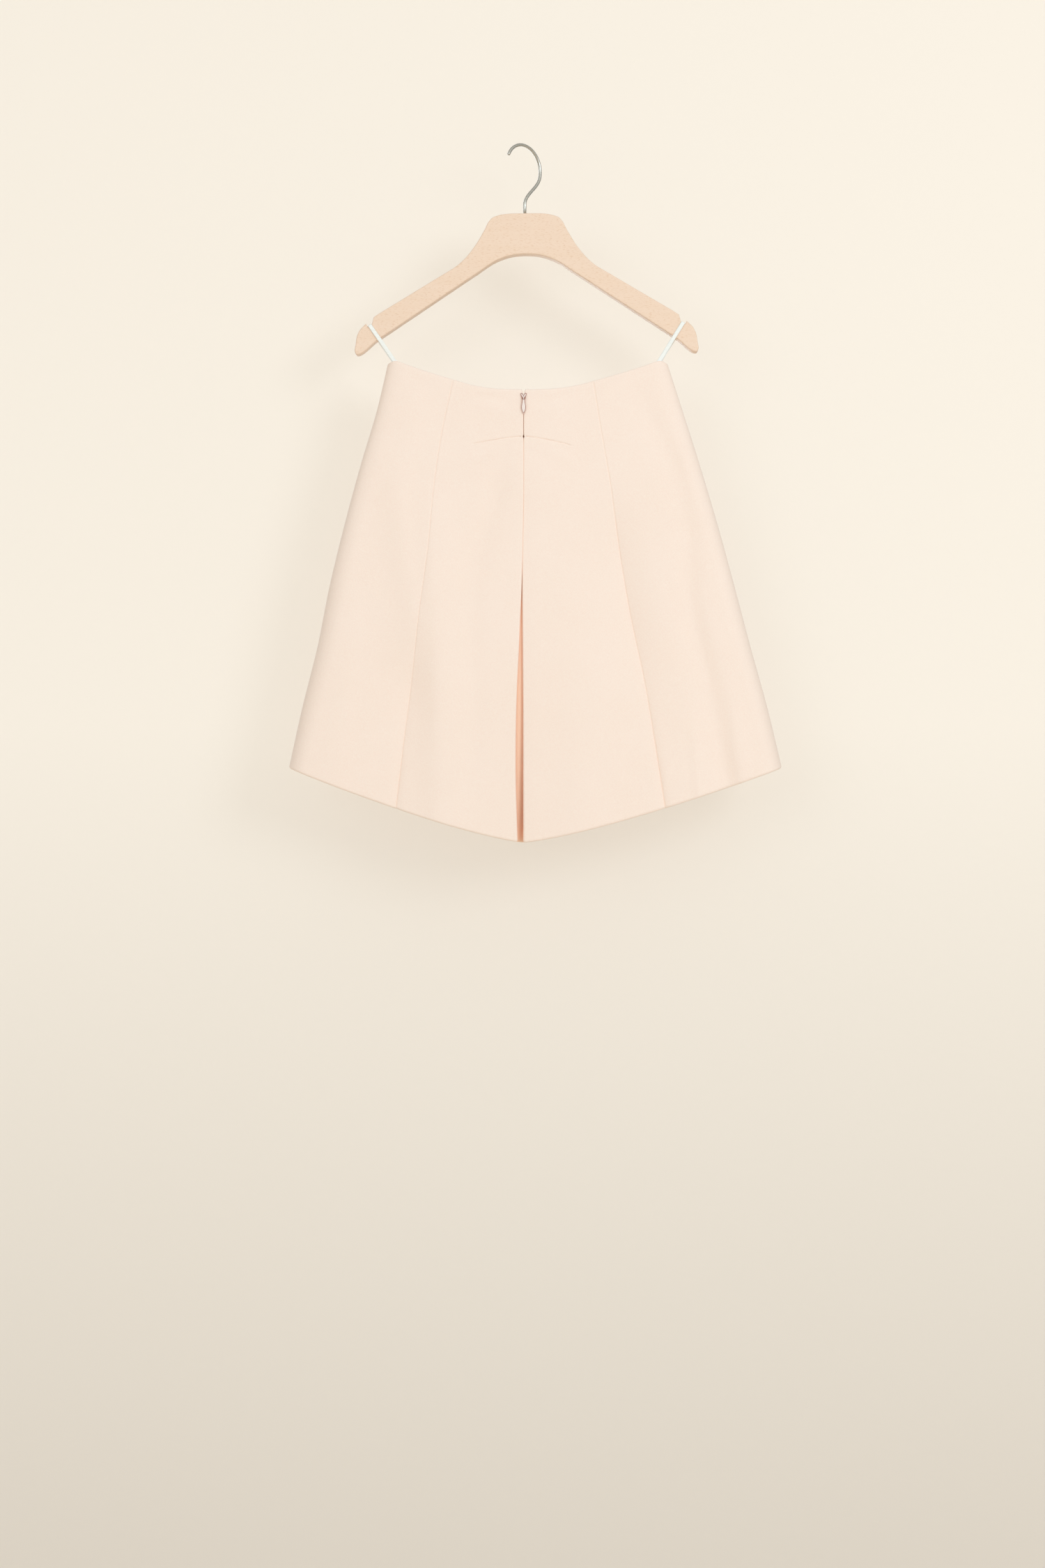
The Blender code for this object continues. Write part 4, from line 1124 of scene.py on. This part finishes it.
def smooth_path(points, count):
    """Points at even distances on a smooth curve through the given (y, down) points."""
    bends = [Bend(0.0, *points[0])]
    for before, after in zip(points, points[1:]):
        bends.append(Bend(bends[-1].at + math.dist(before, after), *after))
    places = [bends[-1].at * i / count for i in range(count + 1)]
    return [(read(bends, "y", at), read(bends, "down", at)) for at in places]


def ribbon_loop(name, end, finish):
    """A flat ribbon from inside the back panel, over the notch, down inside the front panel."""
    floor_x = end.side * (NOTCH_FLOOR_IN.x + NOTCH_FLOOR_OUT.x) / 2
    floor_z = (NOTCH_FLOOR_IN.z + NOTCH_FLOOR_OUT.z) / 2
    top = hanger_place() @ Vector((floor_x * MM, floor_z * MM, 0.0)) / MM
    foot = Vector((end.x, 0.0, end.z))
    along = (foot - top).normalized()
    across = along.cross(Vector((0, 1, 0))).normalized()
    lift = RIBBON_GAP + RIBBON_THICK / 2
    face = HANGER_THICK / 2 + lift
    reach = (foot - top).length
    strand = [
        (face, RIBBON_ROUND + RIBBON_FLAT),
        (face + RIBBON_BOW, RIBBON_LEAVES),
        (beside_cloth(end.side, foot), reach),
        (beside_cloth(end.side, foot + along * RIBBON_TAIL), reach + RIBBON_TAIL),
    ]
    route = [(-y, down) for y, down in reversed(strand)]
    for y_sign, degrees in RIBBON_TURNS:
        angle = math.radians(degrees)
        y = y_sign * (face - RIBBON_ROUND + RIBBON_ROUND * math.cos(angle))
        route.append((y, RIBBON_ROUND - (RIBBON_ROUND + lift) * math.sin(angle)))
    route = smooth_path(route + strand, RIBBON_STEPS)

    bm = grid(4, RIBBON_STEPS)
    for vert, wide, long in places_on(bm):
        y, down = route[round(long * RIBBON_STEPS)]
        spot = top + along * down + across * mix(-RIBBON_WIDE / 2, RIBBON_WIDE / 2, wide)
        vert.co = Vector((spot.x, y, spot.z)) * MM
    return thin_piece(name, bm, finish, RIBBON_THICK)


# --- Materials ---


def colour(hex_code):
    """A linear colour, with alpha, from an sRGB hex code such as "f4e3d2"."""
    parts = [int(hex_code[i : i + 2], 16) / 255 for i in (0, 2, 4)]
    linear = [p / 12.92 if p <= 0.04045 else ((p + 0.055) / 1.055) ** 2.4 for p in parts]
    return (*linear, 1.0)


def give(tree, node, values):
    """Sets a node's inputs. A socket is linked, and so is another node's first output in use."""
    for name, value in values.items():
        if isinstance(value, bpy.types.Node):
            value = next(output for output in value.outputs if output.enabled)
        if isinstance(value, bpy.types.NodeSocket):
            tree.links.new(value, node.inputs[name])
        else:
            node.inputs[name].default_value = value


def add(tree, kind, values=None, **settings):
    """Adds a node: settings are its own properties, values its inputs."""
    node = tree.nodes.new("ShaderNode" + kind)
    for name, value in settings.items():
        setattr(node, name, value)
    give(tree, node, values or {})
    return node


# The sockets of a Mix node that mixes two colours.
SHARE, FIRST, SECOND = 0, 6, 7


def per_metre(*sizes):
    """A pattern's scale from the size of its features, or from their size along each axis."""
    scales = [1 / (size * MM) for size in sizes]
    return scales if len(scales) > 1 else scales[0]


def ribs_scale(pitch, turn):
    """A wave's scale from its ribs' distance along an axis, and its radians for each unit there."""
    return math.tau / turn * per_metre(pitch)


def new_finish(name):
    made = bpy.data.materials.new(name)
    made.use_nodes = True
    tree = made.node_tree
    place = add(tree, "TexCoord").outputs["Object"]
    return made, tree, place, tree.nodes["Principled BSDF"]


def felted_wool():
    """Milled wool coating: matt, with a short nap that lights up where the cloth turns away.
    Inside the pleat a warmer colour is painted on, as painted light that stands in for the glow
    bounced from cloth to cloth there. Fibres are drawn coarser than they are, so that they show."""
    made, tree, place, shader = new_finish("felted_wool")
    clouds = add(tree, "TexNoise", {"Vector": place, "Scale": per_metre(70), "Detail": 2.0})
    nap = add(tree, "TexNoise", {"Vector": place, "Scale": per_metre(1.6), "Detail": 3.0})
    milled = add(tree, "TexNoise", {"Vector": place, "Scale": per_metre(5.0), "Detail": 3.0})
    inside = add(tree, "Attribute", attribute_name="pleat_painted_glow").outputs["Fac"]
    fibres = add(tree, "MapRange", {"Value": nap, "From Min": 0.3, "From Max": 0.7})
    base = {SHARE: clouds, FIRST: colour("f9e0cf"), SECOND: colour("fbe4d5")}
    base = add(tree, "Mix", base, data_type="RGBA")
    pale = add(tree, "Mix", {SHARE: 0.5, FIRST: base, SECOND: colour("fdebdc")}, data_type="RGBA")
    base = add(tree, "Mix", {SHARE: fibres, FIRST: base, SECOND: pale}, data_type="RGBA")
    # Painted light: inside the pleat the colour turns warm, standing in for the glow bounced
    # between its layers.
    base = {SHARE: inside, FIRST: base, SECOND: colour("fcd3b6")}
    base = add(tree, "Mix", base, data_type="RGBA")
    rough = add(tree, "Bump", {"Height": milled, "Strength": 0.25, "Distance": 0.35 * MM})
    fine = {"Height": nap, "Strength": 0.35, "Distance": 0.25 * MM, "Normal": rough}
    give(tree, shader, {
        "Base Color": base,
        "Normal": add(tree, "Bump", fine),
        "Roughness": 0.92,
        "Specular IOR Level": 0.2,
        "Sheen Weight": 0.25,
        "Sheen Roughness": 0.5,
        "Sheen Tint": colour("fff3e6"),
    })
    return made


def sanded_beech():
    """Pale beech, sanded and matt varnished: straight grain with short darker flecks."""
    made, tree, place, shader = new_finish("sanded_beech")
    along = add(tree, "Mapping", {"Vector": place, "Scale": per_metre(111.1, 16.67, 6.667)})
    short = add(tree, "Mapping", {"Vector": place, "Scale": per_metre(4.348, 1.429, 1.111)})
    grain = add(tree, "TexNoise", {"Vector": along, "Scale": 1.0, "Detail": 4.0})
    flecks = add(tree, "TexNoise", {"Vector": short, "Scale": 1.0, "Detail": 1.0})
    marks = {"Value": flecks, "From Min": 0.56, "From Max": 0.7, "To Max": 0.5}
    marks = add(tree, "MapRange", marks)
    base = {SHARE: grain, FIRST: colour("f1d1b5"), SECOND: colour("f5d8c1")}
    base = add(tree, "Mix", base, data_type="RGBA")
    base = {SHARE: marks, FIRST: base, SECOND: colour("e2b893")}
    give(tree, shader, {
        "Base Color": add(tree, "Mix", base, data_type="RGBA"),
        "Normal": add(tree, "Bump", {"Height": flecks, "Strength": 0.15, "Distance": 0.1 * MM}),
        "Roughness": 0.5,
        "Coat Weight": 0.15,
        "Coat Roughness": 0.4,
    })
    return made


def satin_wire():
    """Drawn steel wire with a satin plate: fine lines along it soften the reflections."""
    made, tree, place, shader = new_finish("satin_steel_wire")
    drawn = add(tree, "Mapping", {"Vector": place, "Scale": per_metre(0.6667, 0.6667, 8.333)})
    lines = add(tree, "TexNoise", {"Vector": drawn, "Scale": 1.0, "Detail": 2.0})
    rough = {"Value": lines, "From Min": 0.3, "From Max": 0.7, "To Min": 0.22, "To Max": 0.36}
    base = {SHARE: lines, FIRST: colour("b9b2a6"), SECOND: colour("cfc9bf")}
    give(tree, shader, {
        "Base Color": add(tree, "Mix", base, data_type="RGBA"),
        "Roughness": add(tree, "MapRange", rough),
        "Metallic": 1.0,
    })
    return made


def satin_ribbon():
    """White polyester satin: ribs across the ribbon, drawn coarser than they are so that they
    show, and a soft sheen."""
    made, tree, place, shader = new_finish("satin_ribbon")
    ribs = {"Vector": place, "Scale": ribs_scale(1.776, 20.0), "Distortion": 0.6}
    ribs = add(tree, "TexWave", ribs, wave_type="BANDS", bands_direction="Z")
    ribs = ribs.outputs["Fac"]
    base = {SHARE: ribs, FIRST: colour("f0ede4"), SECOND: colour("faf8f2")}
    give(tree, shader, {
        "Base Color": add(tree, "Mix", base, data_type="RGBA"),
        "Normal": add(tree, "Bump", {"Height": ribs, "Strength": 0.25, "Distance": 0.1 * MM}),
        "Roughness": 0.38,
        "Sheen Weight": 0.2,
        "Sheen Roughness": 0.3,
    })
    return made


def woven_tape():
    """Herringbone zip tape: bands of twill along its length."""
    made, tree, place, shader = new_finish("woven_zip_tape")
    twill = {"Vector": place, "Scale": ribs_scale(4.735, 10.0), "Distortion": 1.0}
    twill = add(tree, "TexWave", twill, wave_type="BANDS", bands_direction="DIAGONAL")
    twill = twill.outputs["Fac"]
    base = {SHARE: twill, FIRST: colour("e3b593"), SECOND: colour("ecc5a8")}
    give(tree, shader, {
        "Base Color": add(tree, "Mix", base, data_type="RGBA"),
        "Normal": add(tree, "Bump", {"Height": twill, "Strength": 0.4, "Distance": 0.15 * MM}),
        "Roughness": 0.8,
        "Sheen Weight": 0.1,
    })
    return made


def nylon_coil():
    """Dyed nylon monofilament: smooth and slightly glossy, with a faint unevenness."""
    made, tree, place, shader = new_finish("nylon_coil")
    tone = add(tree, "TexNoise", {"Vector": place, "Scale": per_metre(4.0)})
    base = {SHARE: tone, FIRST: colour("d9a684"), SECOND: colour("e6bb9d")}
    give(tree, shader, {"Base Color": add(tree, "Mix", base, data_type="RGBA"), "Roughness": 0.42})
    return made


def enamel(name, worn, fresh):
    """Baked enamel on a die-cast zip part, a little uneven in thickness and gloss."""
    made, tree, place, shader = new_finish(name)
    pools = add(tree, "TexNoise", {"Vector": place, "Scale": per_metre(2.0)})
    rough = {"Value": pools, "From Min": 0.3, "From Max": 0.7, "To Min": 0.3, "To Max": 0.45}
    base = {SHARE: pools, FIRST: colour(worn), SECOND: colour(fresh)}
    give(tree, shader, {
        "Base Color": add(tree, "Mix", base, data_type="RGBA"),
        "Roughness": add(tree, "MapRange", rough),
        "Coat Weight": 0.3,
        "Coat Roughness": 0.25,
    })
    return made


# --- Stage, light and camera ---


def plain_paper(name, tint):
    """Uncoated paper: matt, with a faint unevenness of its fibres."""
    made, tree, place, shader = new_finish(name)
    fibre = add(tree, "TexNoise", {"Vector": place, "Scale": per_metre(3.0)})
    give(tree, shader, {
        "Base Color": colour(tint),
        "Normal": add(tree, "Bump", {"Height": fibre, "Strength": 0.1, "Distance": 0.1 * MM}),
        "Roughness": 0.95,
        "Specular IOR Level": 0.1,
    })
    return made, tree, place, shader


def backdrop():
    """A pale paper sheet close behind the garment. It catches the soft shadow and is clear from
    behind, and it neither blocks light nor throws any."""
    finish, tree, place, shader = plain_paper("backdrop_paper", "feeedd")
    glow = add(tree, "MapRange", {
        "Value": add(tree, "SeparateXYZ", {"Vector": place}).outputs["Z"],
        "From Min": BACKDROP_LOW_Z,
        "From Max": BACKDROP_HIGH_Z,
        "To Min": BACKDROP_LOW_GLOW,
    })
    glow = add(tree, "Emission", {"Color": colour("f6f1e6"), "Strength": glow})
    paper = add(tree, "MixShader", {0: BACKDROP_GLOW, 1: shader, 2: glow})
    facing = add(tree, "NewGeometry").outputs["Backfacing"]
    both = add(tree, "MixShader", {0: facing, 1: paper, 2: add(tree, "BsdfTransparent")})
    give(tree, tree.nodes["Material Output"], {"Surface": both})
    bm = bmesh.new()
    bmesh.ops.create_grid(bm, x_segments=1, y_segments=1, size=BACKDROP_HALF)
    middle = Matrix.Translation((0.0, BACKDROP_Y, FLOOR_Z + BACKDROP_HALF))
    bmesh.ops.transform(bm, matrix=middle @ UPRIGHT, verts=bm.verts)
    sheet = piece("backdrop", bm, finish)
    sheet.visible_shadow = False
    sheet.visible_diffuse = False
    sheet.visible_glossy = False


def floor():
    bm = bmesh.new()
    bmesh.ops.create_circle(bm, cap_ends=True, segments=96, radius=FLOOR_RADIUS)
    bmesh.ops.translate(bm, vec=(0.0, 0.0, FLOOR_Z), verts=bm.verts)
    piece("floor", bm, plain_paper("floor_paper", "f6e9d9")[0])


def sky():
    """A studio that is lighter on the viewer's side, and plain cream where the camera sees it."""
    world = bpy.data.worlds.new("studio")
    world.use_nodes = True
    tree = world.node_tree
    direction = add(tree, "TexCoord").outputs["Generated"]
    strength = add(tree, "MapRange", {
        "Value": add(tree, "SeparateXYZ", {"Vector": direction}).outputs["Y"],
        "From Min": SKY_TURN_FRONT,
        "From Max": SKY_TURN_BEHIND,
        "To Min": SKY_FRONT,
        "To Max": SKY_BEHIND,
    })
    light = tree.nodes["Background"]
    give(tree, light, {"Color": colour("f7fbf9"), "Strength": strength})
    seen = add(tree, "Background", {"Color": colour("f1ebdc"), "Strength": 1.0})
    to_camera = add(tree, "LightPath").outputs["Is Camera Ray"]
    both = add(tree, "MixShader", {0: to_camera, 1: light, 2: seen})
    give(tree, tree.nodes["World Output"], {"Surface": both})
    bpy.context.scene.world = world


def lamp(lit):
    light = bpy.data.lights.new(lit.name, "AREA")
    light.shape = "DISK"
    light.size = lit.size
    light.energy = lit.watts
    light.color = LAMP_TINT
    obj = placed(lit.name, light)
    obj.location = lit.place
    obj.rotation_euler = (AIM - Vector(lit.place)).to_track_quat("-Z", "Y").to_euler()


def camera():
    data = bpy.data.cameras.new("camera")
    data.lens = LENS
    data.sensor_width = SENSOR
    obj = placed("camera", data)
    obj.location = CAMERA_PLACE
    obj.rotation_euler = (math.pi / 2, 0.0, 0.0)
    bpy.context.scene.camera = obj


# --- The whole object ---


def stand_for(obj, node, body="root"):
    """Lets a piece ride on its body in place of the solid it stands for."""
    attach(obj, body)
    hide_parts(node)
    return obj


def main():
    bpy.context.scene.view_settings.view_transform = "Standard"
    bpy.context.scene.cycles.diffuse_bounces = 8
    camera()
    wool, ribbon = felted_wool(), satin_ribbon()
    tape, coil = woven_tape(), nylon_coil()
    # The rims' dark enamel is painted shade: it stands in for the shadow in the gaps round slider
    # and pull.
    dark_rim_shade = enamel("painted_shade_enamel", "92452c", "a8583c")
    rose = enamel("rose_enamel", "f0dcd0", "f6e8df")

    sewn = (
        ("back_", CENTRE_BACK, False), ("back_side_", SIDE_BACK, False), ("front_", FRONT, True)
    )
    for side, word in ((LEFT, "left"), (RIGHT, "right")):
        for start, stretches, front in sewn:
            node = start + word
            cloth = stand_for(panel(node + "_panel", side, stretches, front, wool), node)
        stand_for(zip_tape("tape_" + word, side, tape), "zip_tape_" + word)
    for end, word in zip(RIBBON_ENDS, ("left", "right")):
        stand_for(ribbon_loop("ribbon_" + word, end, ribbon), "hanger_loop_" + word)
    stand_for(zip_coil(coil), "zip_coil")
    stand_for(zip_slider(dark_rim_shade, rose), "zip_slider")
    stand_for(zip_pull(dark_rim_shade, rose), "zip_pull", "zip_pull")
    stand_for(hanger(sanded_beech()), "hanger")
    stand_for(hook(satin_wire()), "hanger_hook")

    backdrop()
    floor()
    sky()
    for lit in LAMPS:
        lamp(lit)


main()
